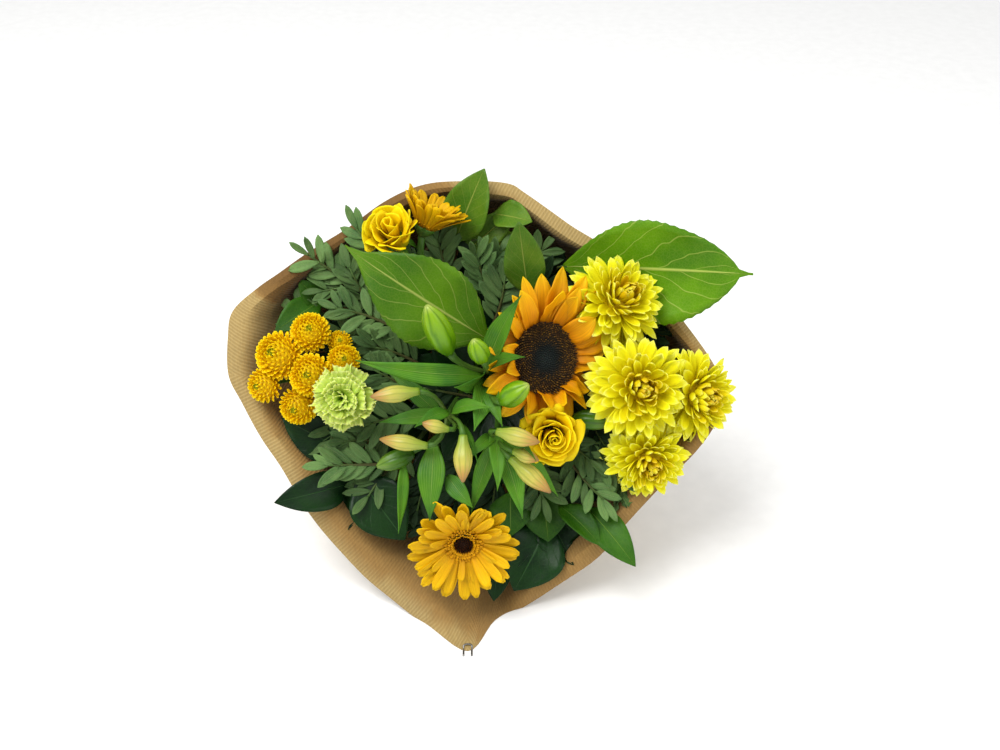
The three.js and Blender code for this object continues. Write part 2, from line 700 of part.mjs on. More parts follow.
function headStem(name, fork, forkWay, heads, radius, cup) {
  const from = onFace(fork);
  const way = faceward(forkWay).normalize();
  const inside = from.clone().addScaledVector(way, -4);
  const pieces = [stemTube(name, from, way, 40)];
  heads.forEach(({ frame, way: headWay }) => {
    const joint = new THREE.Vector3().setFromMatrixPosition(frame).addScaledVector(headWay, -3);
    pieces.push(twig(inside, joint, headWay, radius), cupUnder(frame, cup));
  });
  return pieces;
}

function buttonDome(name, frame, neighbours) {
  const { size } = HEADS[name];
  const reach = reachBetween(HEADS[name], frame, neighbours);
  return studdedDome({ radius: size - 1.4, base: size * 0.4, low: BUTTON.low, rings: 5,
    segments: size > 10 ? 14 : 10, stud: 1.6, reach });
}

function buttonFrame(name) {
  const { at, aim, size } = HEADS[name];
  const way = faceward(aim).normalize();
  return { way, frame: bloomFrame(onFace(at).addScaledVector(way, -size * BUTTON.low), way) };
}

// A button head; a `partner` that is pressed against it is part of the same body.
function buttonHead(name, partner) {
  const { way, frame } = buttonFrame(name);
  const others = neighboursOf(name, ['button', 'carnation']).filter((head) => head !== HEADS[partner]);
  const domes = [buttonDome(name, frame, others)];
  if (partner) {
    const turn = frame.clone().invert().multiply(buttonFrame(partner).frame);
    domes.push(buttonDome(partner, buttonFrame(partner).frame, []).applyMatrix4(turn));
  }
  addPiece(`${name}_head`, domes, FINISH.buttonPetal, frame);
  return { frame, way };
}

function carnation() {
  const { at, aim } = HEADS.carnation;
  const way = faceward(aim).normalize();
  const foot = onFace(at).addScaledVector(way, -14);
  const frame = bloomFrame(foot, way);
  const ruffle = { form: [0.25, 0.8, 1], blunt: true, cols: 3, wave: 0.35, waves: 1.5 };
  const reach = reachBetween(HEADS.carnation, frame, neighboursOf('carnation', ['button']));
  addPiece('carnation_petals', [
    turned([[0, 0], [6, 0], [9, 8], [8, 14], [4, 18], [0, 18]], 8),
    ...petalRing(6, 0, { ...ruffle, from: 7, height: 8, lift: 8, length: 17, width: 20 }, reach),
    ...petalRing(4, 0.4, { ...ruffle, from: 5, height: 13, lift: 36, length: 15, width: 18 }, reach),
    ...petalRing(2, 0.1, { ...ruffle, from: 2, height: 15, lift: 64, length: 12, width: 15 }, reach),
  ], FINISH.carnationPetal, frame);
  addPiece('carnation_stem', [
    turned([[0, -20], [4, -19], [5.6, -10], [5.2, -GAP], [0, -GAP]], 8).applyMatrix4(frame),
    stemTube('carnation', foot.clone().addScaledVector(way, -18), way, 45),
  ], FINISH.stem);
}

// ---------------------------------------------------------------- places on the face

// Blooms: middle, the way they look, and their radius; all [right, up, out].
const HEADS = {
  sunflower: { at: [33.5, 12.5, -4], aim: [0.5, -0.05, 0.86], size: 50, cluster: 'sunflower',
    limits: [[[-1, 0, 0.25], 27], [[-0.55, 0.6, 0.6], 39], [[-0.6, -0.6, 0.5], 40]] },
  gerbera_front: { at: [-28, -130, -24], aim: [0.02, -0.45, 0.89], size: 40 },
  gerbera_back: { at: [-57, 117, -32], aim: [0.42, 0.86, 0.3], size: 24, scale: 0.8,
    limits: [[[0.8, -0.2, -0.5], 12], [[0, 1, -0.3], 20]] },
  rose_top: { at: [-84, 113, -12], aim: [-0.2, 0.25, 0.94], size: 22 },
  rose_middle: { at: [40, -47, 0], aim: [0.08, -0.2, 0.97], size: 22 },
  mum_a: { at: [91, 57, -14], aim: [0.3, 0.35, 0.89], size: 35, cluster: 'mum' },
  mum_b: { at: [105, -10, 6], aim: [0.1, -0.05, 0.99], size: 36, cluster: 'mum' },
  mum_c: { at: [151, -16, -17], aim: [0.55, -0.1, 0.83], size: 33, cluster: 'mum',
    limits: [[[0.8, -0.1, -0.6], 28]] },
  mum_d: { at: [113, -65, -17], aim: [0.15, -0.45, 0.88], size: 30, cluster: 'mum' },
  button_1: { at: [-146, 34, -22], aim: [0.05, 0.25, 0.96], size: 14.5, cluster: 'button' },
  button_2: { at: [-171, 16, -18], aim: [-0.3, 0.15, 0.94], size: 17.5, cluster: 'button' },
  button_3: { at: [-184, -8, -28], aim: [-0.5, -0.1, 0.86], size: 13, cluster: 'button' },
  button_4: { at: [-145, 0, -12], aim: [-0.1, 0, 0.99], size: 15.5, cluster: 'button' },
  button_5: { at: [-120, 12, -24], aim: [0.15, 0.1, 0.98], size: 12, cluster: 'button' },
  button_6: { at: [-157, -25, -28], aim: [-0.2, -0.3, 0.93], size: 14, cluster: 'button' },
  button_7: { at: [-124, 26, -32], aim: [0.1, 0.2, 0.97], size: 9, cluster: 'button' },
  carnation: { at: [-118, -17, 4], aim: [-0.15, -0.05, 0.99], size: 24, cluster: 'carnation' },
};

// Buds: foot and tip.
const LILY_BUDS = {
  upper: { foot: [-37, 16, 18], tip: [-52, 49, 50], radius: 10 },
  small: { foot: [-12, 10, 28], tip: [-19, 25, 46], radius: 7.5 },
  right: { foot: [1, -20, 24], tip: [20, -7, 42], radius: 8.5 },
};
const ALSTROEMERIA_BUDS = {
  left_upper: { foot: [-60, -12, 12], tip: [-95, -16, 20], radius: 6.5, side: 'left' },
  left_lower: { foot: [-54, -53, 4], tip: [-90, -48, 2], radius: 6.2, side: 'left' },
  left_small: { foot: [-38, -40, 20], tip: [-57, -35, 26], radius: 5, side: 'left' },
  hanging: { foot: [-27, -44, 24], tip: [-27, -78, 28], radius: 6.8, side: 'left' },
  right_upper: { foot: [-2, -41, 34], tip: [28, -48, 46], radius: 6.6, side: 'right' },
  right_small: { foot: [10, -56, 22], tip: [28, -62, 30], radius: 5.2, side: 'right' },
  right_lower: { foot: [8, -62, 12], tip: [37, -86, 22], radius: 6.8, side: 'right' },
};

// Rim of the wrapper, clockwise from its stapled tip: [right, up, out, width of the rolled lip].
// Where `rests` is set, the paper lies flat on the table for a REST_DEPTH behind its edge.
const RIM = [
  [-25, -213, -30, 8, 'rests'], [-60, -198, -56, 17], [-87, -179, -64, 17], [-112, -157, -62, 15],
  [-134, -132, -58, 14], [-158, -97, -54, 14], [-173, -73, -51, 11], [-188, -50, -48, 9],
  [-203, -22, -45, 8], [-213, 0, -42, 9], [-213, 30, -40, 10], [-209, 50, -40, 9],
  [-190, 68, -41, 6], [-171, 81, -42, 4], [-147, 98, -44, 4], [-120, 116, -46, 4],
  [-91, 136, -48, 4], [-63, 149, -50, 4], [-36, 153, -50, 4], [4, 151, -50, 6],
  [20, 143, -50, 8], [54, 119, -50, 9], [81, 102, -48, 8], [118, 71, -46, 6],
  [150, 34, -44, 5], [168, 8, -42, 5], [175, -12, -40, 5], [170, -34, -38, 5],
  [151, -60, -34, 5], [121, -92, -36, 6], [96, -121, -42, 7], [79, -142, -48, 8],
  [52, -163, -57, 8], [18, -187, -68, 8], [-4, -196, -58, 6, 'rests'],
];
const RIM_MIDDLE = [-8, -20, -50];

// ---------------------------------------------------------------- leafy stems

// Leaflets in pairs along a frond's rib, from `foot` to `tip`, with one at the end.
function frond(name, foot, tip, pairs, facing, bow = 0, first = 0.12) {
  const [from, to] = [onFace(foot), onFace(tip)];
  const face = faceward(facing).normalize();
  const along = to.clone().sub(from);
  const length = along.length();
  const way = along.clone().normalize();
  const side = new THREE.Vector3().crossVectors(way, face).normalize();
  const ribAt = (t) => from.clone().addScaledVector(along, t)
    .addScaledVector(side, bow * length * 4 * t * (1 - t));
  const toss = dice(name.length * 7 + pairs);
  const rib = [0.25, 0.5, 0.75, 0.97].map(ribAt);
  const turnIn = way.clone().add(AXIS).normalize();
  const pieces = [tube([...stemRoute(name, from, turnIn, 22), ...rib], STEMS[name].radius)];
  for (let pair = 0; pair < pairs; pair += 1) {
    const t = first + (0.93 - first) * pair / Math.max(1, pairs - 1);
    [-1, 1].forEach((hand) => {
      const spread = rad(50 - 14 * t + toss() * 8);
      const out = way.clone().multiplyScalar(Math.cos(spread))
        .addScaledVector(side, hand * Math.sin(spread)).addScaledVector(face, (toss() - 0.4) * 0.3);
      const tilt = face.clone().addScaledVector(side, hand * (toss() - 0.5) * 0.5);
      const size = PISTACHE.leaflet * (0.82 + 0.3 * Math.sin(Math.PI * t)) * (0.9 + 0.2 * toss());
      const root = ribAt(t + hand * 0.02);
      pieces.push(blade({ length: size, width: PISTACHE.leafletWidth, form: [0.22, 1], flat: true,
        belly: 0.8, curl: -0.08 }).applyMatrix4(frameAt(root, out, tilt)));
    });
  }
  pieces.push(blade({ length: PISTACHE.leaflet, width: PISTACHE.leafletWidth, form: [0.22, 1] })
    .applyMatrix4(frameAt(ribAt(0.93), way, face)));
  addPiece(name, pieces, FINISH.pistache);
}

// A woody stem up to `fork`, with large leaves on stalks.
function leafySpray(name, fork, leaves, material = FINISH.leaf) {
  const top = onFace(fork);
  const way = top.clone().sub(BINDING).normalize();
  const pieces = [stemTube(name, top, way, 40)];
  leaves.forEach(([base, tip, width, facing, shape]) => {
    pieces.push(...stalkedLeaf(fork, base, tip, width, facing, shape));
  });
  addPiece(name, pieces, material);
}

function placeFlowers() {
  sunflower();
  gerbera('gerbera_front', 14, [16, 32], []);
  gerbera('gerbera_back', 8, [56, 74], [HEADS.rose_top]);
  rose('rose_top', [
    { count: 2, near: 8, far: 7.5, height: 30, roll: 0, span: 160, phase: 0.3 },
    { count: 3, near: 8.5, far: 13, height: 29, roll: 2, span: 118, phase: 0.1 },
    { count: 4, near: 8.8, far: 18, height: 25, roll: 3, span: 92, phase: 0.6 },
  ]);
  rose('rose_middle', [
    { count: 2, near: 8, far: 7.5, height: 31, roll: 0, span: 160, phase: 0 },
    { count: 3, near: 8.5, far: 12.5, height: 30, roll: 2, span: 118, phase: 0.4 },
    { count: 4, near: 8.8, far: 17.5, height: 25, roll: 3.5, span: 92, phase: 0.15 },
  ]);
  carnation();

  const [a, b, c, d] = ['mum_a', 'mum_b', 'mum_c', 'mum_d'].map(chrysanthemum);
  addPiece('mum_upper_stem', headStem('mum_upper', [86, 36, -92], [0.2, 0.1, 1], [a, b],
    MUM.twig, 6), FINISH.stem);
  addPiece('mum_lower_stem', headStem('mum_lower', [104, -18, -106], [0.3, -0.25, 1], [c, d],
    MUM.twig, 6), FINISH.stem);

  const buttons = ['button_1', 'button_2', 'button_3', 'button_4', 'button_6']
    .map((name) => buttonHead(name));
  buttons.push(buttonHead('button_5', 'button_7'));
  addPiece('button_stem', headStem('button', [-126, 10, -100], [-0.3, 0, 1], buttons,
    BUTTON.twig, 4.5), FINISH.stem);
}

function budsOf(buds, material, prefix) {
  Object.entries(buds).forEach(([name, { foot, tip, radius }]) => {
    addPiece(`${prefix}_bud_${name}`, [bud(onFace(foot), onFace(tip), radius)], material);
  });
}

// The stalk under a bud: from a point on the stem to just short of the bud's foot.
function budStalk(from, { foot, tip }, radius) {
  const [start, end] = [onFace(from), onFace(foot)];
  const way = onFace(tip).sub(end).normalize();
  return twig(start, end.addScaledVector(way, -GAP - 0.4), way, radius, 14);
}

function placeLilies() {
  budsOf(LILY_BUDS, FINISH.lilyGreen, 'lily');
  const fork = [-10, 2, -4];
  const way = faceward([0, 0, 1]);
  addPiece('lily_middle_stem', [
    stemTube('lily_middle', onFace(fork), way, 50),
    ...Object.values(LILY_BUDS).map((one) => budStalk([fork[0], fork[1], fork[2] - 4], one, LILY.twig)),
    leafBetween([-10, 4, -5], [14, 56, 42], 18, [-0.5, 0, 0.8], { form: LANCE_FORM, arch: 0.1 }),
    leafBetween([-9, 2, -3], [17, 12, 38], 13, [-0.4, 0.5, 0.8], { form: LANCE_FORM, arch: 0.12 }),
    leafBetween([-12, 0, -6], [-33, -9, 33], 15, [0.4, -0.6, 0.7], { form: LANCE_FORM, arch: 0.1 }),
    leafBetween([-10, -2, -6], [-18, -41, 26], 15, [0.3, 0.3, 0.9], { form: LANCE_FORM, arch: 0.1 }),
    leafBetween([-10, 1, -6], [-106, 10, 14], 19, [0, -0.3, 0.95], { form: LANCE_FORM, arch: 0.08 }),
  ], FINISH.lilyGreen);

  const side = { lily_left: { foot: [-66, -60, -20], tip: [-94, -70, -18], radius: 7.5 },
    lily_right: { foot: [56, -33, -26], tip: [86, -36, -22], radius: 8 } };
  Object.entries(side).forEach(([name, { foot, tip, radius }]) => {
    const [from, to] = [onFace(foot), onFace(tip)];
    const along = to.clone().sub(from).normalize();
    addPiece(name, [stemTube(name, from.clone().addScaledVector(along, 4), along, 40),
      bud(from, to, radius)], FINISH.lilyGreen);
  });
}

function placeAlstroemerias() {
  budsOf(ALSTROEMERIA_BUDS, FINISH.alstroemeriaBud, 'alstroemeria');
  const sprays = {
    left: { fork: [-40, -30, -6], leaves: [
      [[-40, -30, -10], [-53, -110, -6], 20, [-0.3, 0, 0.95]],
      [[-40, -30, -11], [-92, -36, -12], 12, [0, 0.3, 0.95]],
    ] },
    right: { fork: [-2, -48, -8], leaves: [
      [[-2, -48, -12], [17, -109, -4], 17, [0.4, 0, 0.9]],
      [[-2, -48, -13], [-22, -105, -14], 16, [-0.5, 0, 0.85]],
    ] },
  };
  Object.entries(sprays).forEach(([hand, { fork, leaves }]) => {
    const name = `alstroemeria_${hand}`;
    const buds = Object.values(ALSTROEMERIA_BUDS).filter((one) => one.side === hand);
    addPiece(`${name}_stem`, [
      stemTube(name, onFace(fork), faceward([0, 0, 1]), 50),
      ...buds.map((one) => budStalk([fork[0], fork[1], fork[2] - 4], one, ALSTROEMERIA.twig)),
      ...leaves.map(([base, tip, width, facing]) => (
        leafBetween(base, tip, width, facing, { form: LANCE_FORM, arch: 0.1 }))),
    ], FINISH.lilyGreen);
  });
}

function placeFoliage() {
  const fine = { form: OVATE_FINE, flat: false, teeth: 0.08, fold: 0.12, arch: 0.06 };
  leafySpray('leaf_big_left', [-16, 24, -40], [
    [[-16, 26, -13], [-115, 99, 0], 62, [-0.15, -0.1, 0.98], { ...fine, wave: 0.06 }]], FINISH.paleLeaf);
  leafySpray('leaf_big_right', [44, 84, -74], [
    [[52, 88, -51], [190, 75, -7], 76, [0, -0.5, 1], { ...fine, arch: 0, wave: 0.12 }]], FINISH.paleLeaf);
  leafySpray('leaf_spotted', [20, 60, -46], [
    [[22, 64, -34], [14, 115, -10], 30, [0, -0.2, 1], { arch: 0.05 }]], FINISH.paleLeaf);
  leafySpray('shallon_top', [-26, 104, -70], [
    [[-36, 108, -62], [-12, 160, -32], 36, [-0.2, -0.1, 1], { arch: 0.04 }],
    [[-6, 128, -56], [24, 119, -34], 24, [0, 0.3, 1], { arch: 0.05 }],
    [[-20, 108, -60], [26, 98, -54], 20, [0, 0.1, 1], { arch: 0.05 }],
  ], FINISH.paleLeaf);
  leafySpray('shallon_corner', [-138, 50, -72], [
    [[-142, 59, -58], [-176, 36, -42], 26, [0, 0.2, 1], { arch: 0.08 }],
    [[-138, 54, -60], [-158, 74, -50], 18, [0, 0, 1], { arch: 0.05 }],
  ]);
  leafySpray('shallon_left', [-112, -76, -78], [
    [[-117, -63, -60], [-170, -34, -50], 36, [0, 0.1, 1], { arch: 0.06 }],
    [[-118, -86, -62], [-174, -100, -34], 30, [0.1, 0, 1], { arch: 0.14 }],
    [[-112, -84, -50], [-76, -130, -50], 44, [0, 0.1, 1], { arch: 0.08 }],
  ]);
  leafySpray('shallon_bottom', [14, -118, -82], [
    [[38, -122, -58], [12, -170, -56], 46, [0, 0.1, 1], { arch: 0.06 }],
    [[0, -142, -66], [-8, -178, -58], 20, [0, 0, 1], { arch: 0.05 }],
    [[8, -94, -46], [8, -126, -40], 30, [0.1, 0, 1], { arch: 0.1 }],
    [[30, -100, -52], [36, -132, -48], 30, [0.1, 0, 1], { arch: 0.1 }],
  ]);
  leafySpray('shallon_right', [56, -104, -66], [
    [[46, -102, -42], [77, -130, -26], 22, [0.3, 0.3, 0.9], { arch: 0.1 }],
    [[70, -104, -46], [104, -147, -24], 24, [0.2, 0, 1], { arch: 0.16 }],
  ]);

  frond('pistache_rim', [-100, 60, -58], [-150, 94, -38], 4, [0, 0, 1]);
  frond('pistache_upper', [-84, 66, -56], [-112, 114, -35], 4, [-0.2, 0, 1], 0.05);
  frond('pistache_inner', [-72, 30, -48], [-128, 52, -34], 5, [0, 0.1, 1], 0.06);
  frond('pistache_top', [-12, 64, -62], [-20, 94, -40], 4, [0, 0, 1], 0.05);
  frond('pistache_left', [-84, -70, -46], [-134, -70, -30], 4, [0, 0.1, 1]);
  frond('pistache_right', [50, -58, -48], [80, -96, -26], 5, [0.2, 0, 1], 0.05);
}

// ---------------------------------------------------------------- wrapper, tie and staple

// The wrapper's middle surface: rings from the tail through the tie to the rim and its lip.
function wrapperRings() {
  const columns = RIM.map(([right, up, out, lip, rests]) => {
    const way = new THREE.Vector2(right - RIM_MIDDLE[0], up - RIM_MIDDLE[1]).normalize();
    const edge = onFace([right, up, out]);
    const crest = onFace([right - way.x * lip, up - way.y * lip, out + lip * 0.45]);
    if (rests) {
      edge.z = 0;
      crest.set(edge.x, edge.y + REST_DEPTH, 0);
    }
    const ring = (along, radius) => inBundle(along, [way.x * radius, way.y * radius]);
    const neck = ring(26, WRAP_RADIUS + 2);
    const outwards = inBundle(0, [way.x, way.y]).sub(BINDING);
    const wall = [0.42, 0.8].map((share) => neck.clone().lerp(crest, share)
      .addScaledVector(outwards, 13 * Math.sin(Math.PI * share)));
    return [ring(-WRAP_TAIL, WRAP_RADIUS + 3), ring(-8, WRAP_RADIUS), neck, ...wall, crest, edge];
  });
  return columns[0].map((_, ring) => columns.map((column) => column[ring]));
}

function wrapper() {
  const rings = wrapperRings();
  const count = RIM.length;
  const at = (ring, column) => rings[ring][(column + count) % count];
  const last = rings.length - 1;
  const skin = { outer: [], inner: [] };
  const points = [];
  rings.forEach((line, ring) => {
    skin.outer.push([]);
    skin.inner.push([]);
    line.forEach((place, column) => {
      const forwards = at(Math.min(ring + 1, last), column).clone()
        .sub(at(Math.max(ring - 1, 0), column));
      const round = at(ring, column + 1).clone().sub(at(ring, column - 1));
      const normal = forwards.cross(round).normalize().multiplyScalar(PAPER / 2);
      const [outer, inner] = [place.clone().add(normal), place.clone().sub(normal)];
      outer.z = Math.max(outer.z, 0);
      inner.z = Math.max(inner.z, PAPER);
      skin.outer[ring].push(points.push(outer) - 1);
      skin.inner[ring].push(points.push(inner) - 1);
    });
  });
  const faces = [];
  for (let column = 0; column < count; column += 1) {
    const next = (column + 1) % count;
    for (let ring = 0; ring < last; ring += 1) {
      const [near, far] = [skin.outer[ring], skin.outer[ring + 1]];
      faces.push([near[column], far[next], near[next]], [near[column], far[column], far[next]]);
      const [inNear, inFar] = [skin.inner[ring], skin.inner[ring + 1]];
      faces.push([inNear[column], inNear[next], inFar[next]],
        [inNear[column], inFar[next], inFar[column]]);
    }
    const [rimOut, rimIn] = [skin.outer[last], skin.inner[last]];
    faces.push([rimOut[column], rimIn[column], rimIn[next]], [rimOut[column], rimIn[next], rimOut[next]]);
    const [tailOut, tailIn] = [skin.outer[0], skin.inner[0]];
    faces.push([tailOut[column], tailIn[next], tailIn[column]],
      [tailOut[column], tailOut[next], tailIn[next]]);
  }
  addSolid('wrapper', solidOf(geometryOf(points, faces)).subtract(joined(stapleNotches())), FINISH.paper);
}

// The wrapper's tip on the table, where the staple holds its two edges together.
function wrapperTip() {
  const tip = onFace(RIM[0]);
  tip.z = 0;
  return tip;
}

function stapleNotches() {
  return [-1, 1].map((hand) => new THREE.BoxGeometry(STAPLE.wire * 4, STAPLE.notch * 2, 6)
    .translate(...wrapperTip().add(vec([hand * STAPLE.half, 0, 0]))));
}

// Bent wire: its crown lies on the paper, its legs go down in the notches and stick out in front.
function staple() {
  const tip = wrapperTip();
  const [low, high] = [STAPLE.wire + 0.15, PAPER + GAP + STAPLE.wire];
  const side = (hand) => [
    [hand * STAPLE.half, -STAPLE.leg, low],
    [hand * STAPLE.half, STAPLE.notch - 2.2, low],
    [hand * STAPLE.half, STAPLE.notch - 0.9, high],
  ];
  const bends = [...side(-1), ...side(1).reverse()].map((place) => tip.clone().add(vec(place)));
  addPiece('staple', [tube(bends, STAPLE.wire, 4)], FINISH.wire);
}

function stemTie() {
  const inner = (BUNDLE_RADIUS + GAP) / Math.cos(Math.PI / 14);
  const band = [[inner, -3], [inner + 1.6, -3], [inner + 2.2, 0], [inner + 1.6, 3], [inner, 3], [inner, -3]];
  addPiece('stem_tie', [turned(band, 14)], FINISH.twine, bloomFrame(BINDING, AXIS));
}

placeFlowers();
placeLilies();
placeAlstroemerias();
placeFoliage();
wrapper();
staple();
stemTie();

export default bouquet;
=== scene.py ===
# %% [markdown]
# A mixed bunch of cut flowers in a cone of ribbed kraft paper, lying on a table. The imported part
# gives every stem, bloom, bud and leaf its place. This file gives them their looks: each step
# grows the fine pieces of one kind of flower where its plain solid stands, and hides that solid.

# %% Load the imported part
import math
import random
from collections import namedtuple

import bmesh
import bpy
import numpy as np
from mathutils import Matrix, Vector
from mathutils.kdtree import KDTree


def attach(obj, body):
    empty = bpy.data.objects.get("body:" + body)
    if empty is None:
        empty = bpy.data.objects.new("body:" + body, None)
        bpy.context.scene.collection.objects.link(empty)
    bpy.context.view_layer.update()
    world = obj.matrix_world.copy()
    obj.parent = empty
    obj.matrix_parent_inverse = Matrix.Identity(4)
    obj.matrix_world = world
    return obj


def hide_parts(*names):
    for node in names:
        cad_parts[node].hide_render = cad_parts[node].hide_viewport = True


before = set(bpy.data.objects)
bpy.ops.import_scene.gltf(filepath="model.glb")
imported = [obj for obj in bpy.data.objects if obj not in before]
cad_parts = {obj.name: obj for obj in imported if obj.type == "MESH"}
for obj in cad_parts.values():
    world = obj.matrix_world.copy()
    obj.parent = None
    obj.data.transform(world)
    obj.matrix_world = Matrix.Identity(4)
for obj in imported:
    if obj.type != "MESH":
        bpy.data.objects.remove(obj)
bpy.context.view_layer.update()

# %% [markdown]
# The bunch was laid out on a plane that leans back, which a viewer sees square on: its face. All
# places are given on that face in millimetres: right, up and out of it. Working in the units in
# which a florist would measure keeps the numbers readable; they turn to metres only in a mesh.

# %% The face of the bunch
MM = 0.001
FACE_LEAN = math.radians(35)
FACE_MIDDLE = np.array([11.6, -157.2, 193.0])
RIGHT = np.array([1.0, 0.0, 0.0])
UP_FACE = np.array([0.0, math.sin(FACE_LEAN), math.cos(FACE_LEAN)])
OUT_FACE = np.array([0.0, -math.cos(FACE_LEAN), math.sin(FACE_LEAN)])


def unit(way):
    """The same direction, one long."""
    way = np.asarray(way, float)
    return way / np.linalg.norm(way)


def faceward(way):
    """Turns a direction [right, up, out] on the face into the part's own frame."""
    return RIGHT * way[0] + UP_FACE * way[1] + OUT_FACE * way[2]


def on_face(place):
    """Turns a place [right, up, out] on the face into the part's own frame, in millimetres."""
    return FACE_MIDDLE + faceward(place)


def basis(x, y, z, origin):
    """A matrix from its three axes and its origin."""
    matrix = np.eye(4)
    matrix[:3, 0], matrix[:3, 1], matrix[:3, 2], matrix[:3, 3] = x, y, z, origin
    return matrix


def stand(origin, along, facing):
    """Stands +Y on `along` and +Z as near to `facing` as it can be."""
    y = unit(along)
    z = unit(np.asarray(facing, float) - y * np.dot(facing, y))
    return basis(np.cross(y, z), y, z, origin)


def bloom_frame(place, aim, sunk=0.0):
    """Stands +Z on the way in which a bloom looks, `sunk` millimetres behind its place."""
    z = unit(faceward(aim))
    y = unit(UP_FACE - z * np.dot(UP_FACE, z))
    return basis(np.cross(y, z), y, z, on_face(place) - z * sunk)


def moved(points, matrix):
    """Points carried by a matrix."""
    return points @ matrix[:3, :3].T + matrix[:3, 3]


print("the face's middle is at", FACE_MIDDLE, "mm")

# %% [markdown]
# The camera looks straight at the face from a little under a metre away, as someone does who
# holds a phone over a bunch on a table. Its lens is chosen so that one pixel of a picture that is
# 1000 wide is 0.75 mm on the face. The plain colour transform keeps the yellows as pure as a phone
# shows them; one that imitates film would make them pale.

# %% Camera
CAMERA_FAR = 950.0
PICTURE_WIDE = 1000
PIXEL_MM = 0.75
SENSOR = 36.0
camera_data = bpy.data.cameras.new("camera")
camera_data.sensor_width = SENSOR
camera_data.lens = SENSOR * CAMERA_FAR / (PICTURE_WIDE * PIXEL_MM)
camera = bpy.data.objects.new("camera", camera_data)
bpy.context.scene.collection.objects.link(camera)
camera.location = Vector((FACE_MIDDLE + OUT_FACE * CAMERA_FAR) * MM)
camera.rotation_euler = (math.pi / 2 - FACE_LEAN, 0, 0)
bpy.context.scene.camera = camera
bpy.context.scene.view_settings.view_transform = "Standard"
print("camera at", [round(x, 3) for x in camera.location], "lens", round(camera_data.lens, 1), "mm")

# %% [markdown]
# Fresh flowers look best in soft light from above, like that of a cloudy sky. A white world gives
# the fill, one large panel over the left shoulder models the petals, and a second, weaker panel
# keeps the right side from going flat. The floor is a matt white sheet.

# %% Light and floor
world = bpy.data.worlds.new("studio")
bpy.context.scene.world = world
world.use_nodes = True
world.node_tree.nodes["Background"].inputs["Color"].default_value = (1.0, 1.0, 1.0, 1.0)
world.node_tree.nodes["Background"].inputs["Strength"].default_value = 0.75


def panel(name, place, size, watts):
    """A square soft light that shines at the middle of the bunch."""
    data = bpy.data.lights.new(name, "AREA")
    data.size = size
    data.energy = watts
    light = bpy.data.objects.new(name, data)
    bpy.context.scene.collection.objects.link(light)
    light.location = place
    aim = Vector((0.0, -0.1, 0.15)) - Vector(place)
    light.rotation_euler = aim.to_track_quat("-Z", "Y").to_euler()
    return light


panel("key_panel", (-0.7, -0.7, 1.7), 1.1, 34)
panel("fill_panel", (1.2, -0.9, 0.9), 1.2, 8)

bpy.ops.object.select_all(action="DESELECT")
bpy.ops.mesh.primitive_plane_add(size=6, location=(0, 0, 0))
floor = bpy.context.object
floor.name = "floor"
print("two panels and a floor")

# %% [markdown]
# Every finish is a node tree, and one helper adds its nodes. A node's settings are named in the
# call, its inputs are given by socket, as a value or as the output of another node, and a colour
# ramp gets its stops in the same call. Colours are written as they look on a screen, in sRGB hex,
# and one function turns them to the linear values that the renderer needs. Sums, ranges and mixes
# come again and again, so each has a short helper too.


# %% Helpers for materials
def linear(colour):
    """sRGB hex to linear RGBA."""
    parts = [int(colour[i:i + 2], 16) / 255 for i in (1, 3, 5)]
    return tuple(p / 12.92 if p <= 0.04045 else ((p + 0.055) / 1.055) ** 2.4 for p in parts) + (1.0,)


def add(tree, kind, inputs=None, stops=None, **settings):
    """Adds a node with its settings, its input values or links, and a ramp's stops."""
    node = tree.nodes.new("ShaderNode" + kind)
    for key, value in settings.items():
        setattr(node, key, value)
    for socket, value in (inputs or {}).items():
        if isinstance(value, bpy.types.NodeSocket):
            tree.links.new(value, node.inputs[socket])
        else:
            node.inputs[socket].default_value = value
    if stops:
        while len(node.color_ramp.elements) < len(stops):
            node.color_ramp.elements.new(0.5)
        for element, (place, colour) in zip(node.color_ramp.elements, stops):
            element.position = place
            element.color = linear(colour) if isinstance(colour, str) else (colour,) * 3 + (1.0,)
    return node


def new_finish(name, roughness, specular=0.5, subsurface=0.0, metallic=0.0, sheen=0.0):
    """A material with its constant values on the shader's own sockets."""
    material = bpy.data.materials.new(name)
    material.use_nodes = True
    tree = material.node_tree
    shader = tree.nodes["Principled BSDF"]
    shader.inputs["Roughness"].default_value = roughness
    shader.inputs["Specular IOR Level"].default_value = specular
    shader.inputs["Metallic"].default_value = metallic
    shader.inputs["Sheen Weight"].default_value = sheen
    shader.inputs["Subsurface Weight"].default_value = subsurface
    shader.inputs["Subsurface Scale"].default_value = 0.002
    return material, tree, shader


def maths(tree, operation, *values):
    """The result of a Math node."""
    return add(tree, "Math", dict(enumerate(values)), operation=operation).outputs[0]


def ranged(tree, value, low, high, start=0.0, end=1.0):
    """A value mapped from low..high to start..end, and held between them."""
    return add(tree, "MapRange", {"Value": value, "From Min": low, "From Max": high,
                                  "To Min": start, "To Max": end}).outputs[0]


def mixed(tree, share, one, two):
    """Two colours mixed, each a socket or hex; `share` is how much of the second."""
    one, two = [linear(colour) if isinstance(colour, str) else colour for colour in (one, two)]
    return add(tree, "Mix", {"Factor": share, 6: one, 7: two}, data_type="RGBA").outputs[2]


def scaled(tree, colour, factor):
    """A colour made darker or brighter."""
    return add(tree, "VectorMath", {0: colour, "Scale": factor}, operation="SCALE").outputs["Vector"]


def off_line(tree, phase):
    """0 on a line and 0.5 half way to the next; there is one line for each step of `phase`."""
    return maths(tree, "ABSOLUTE", maths(tree, "SUBTRACT", maths(tree, "FRACT", phase), 0.5))


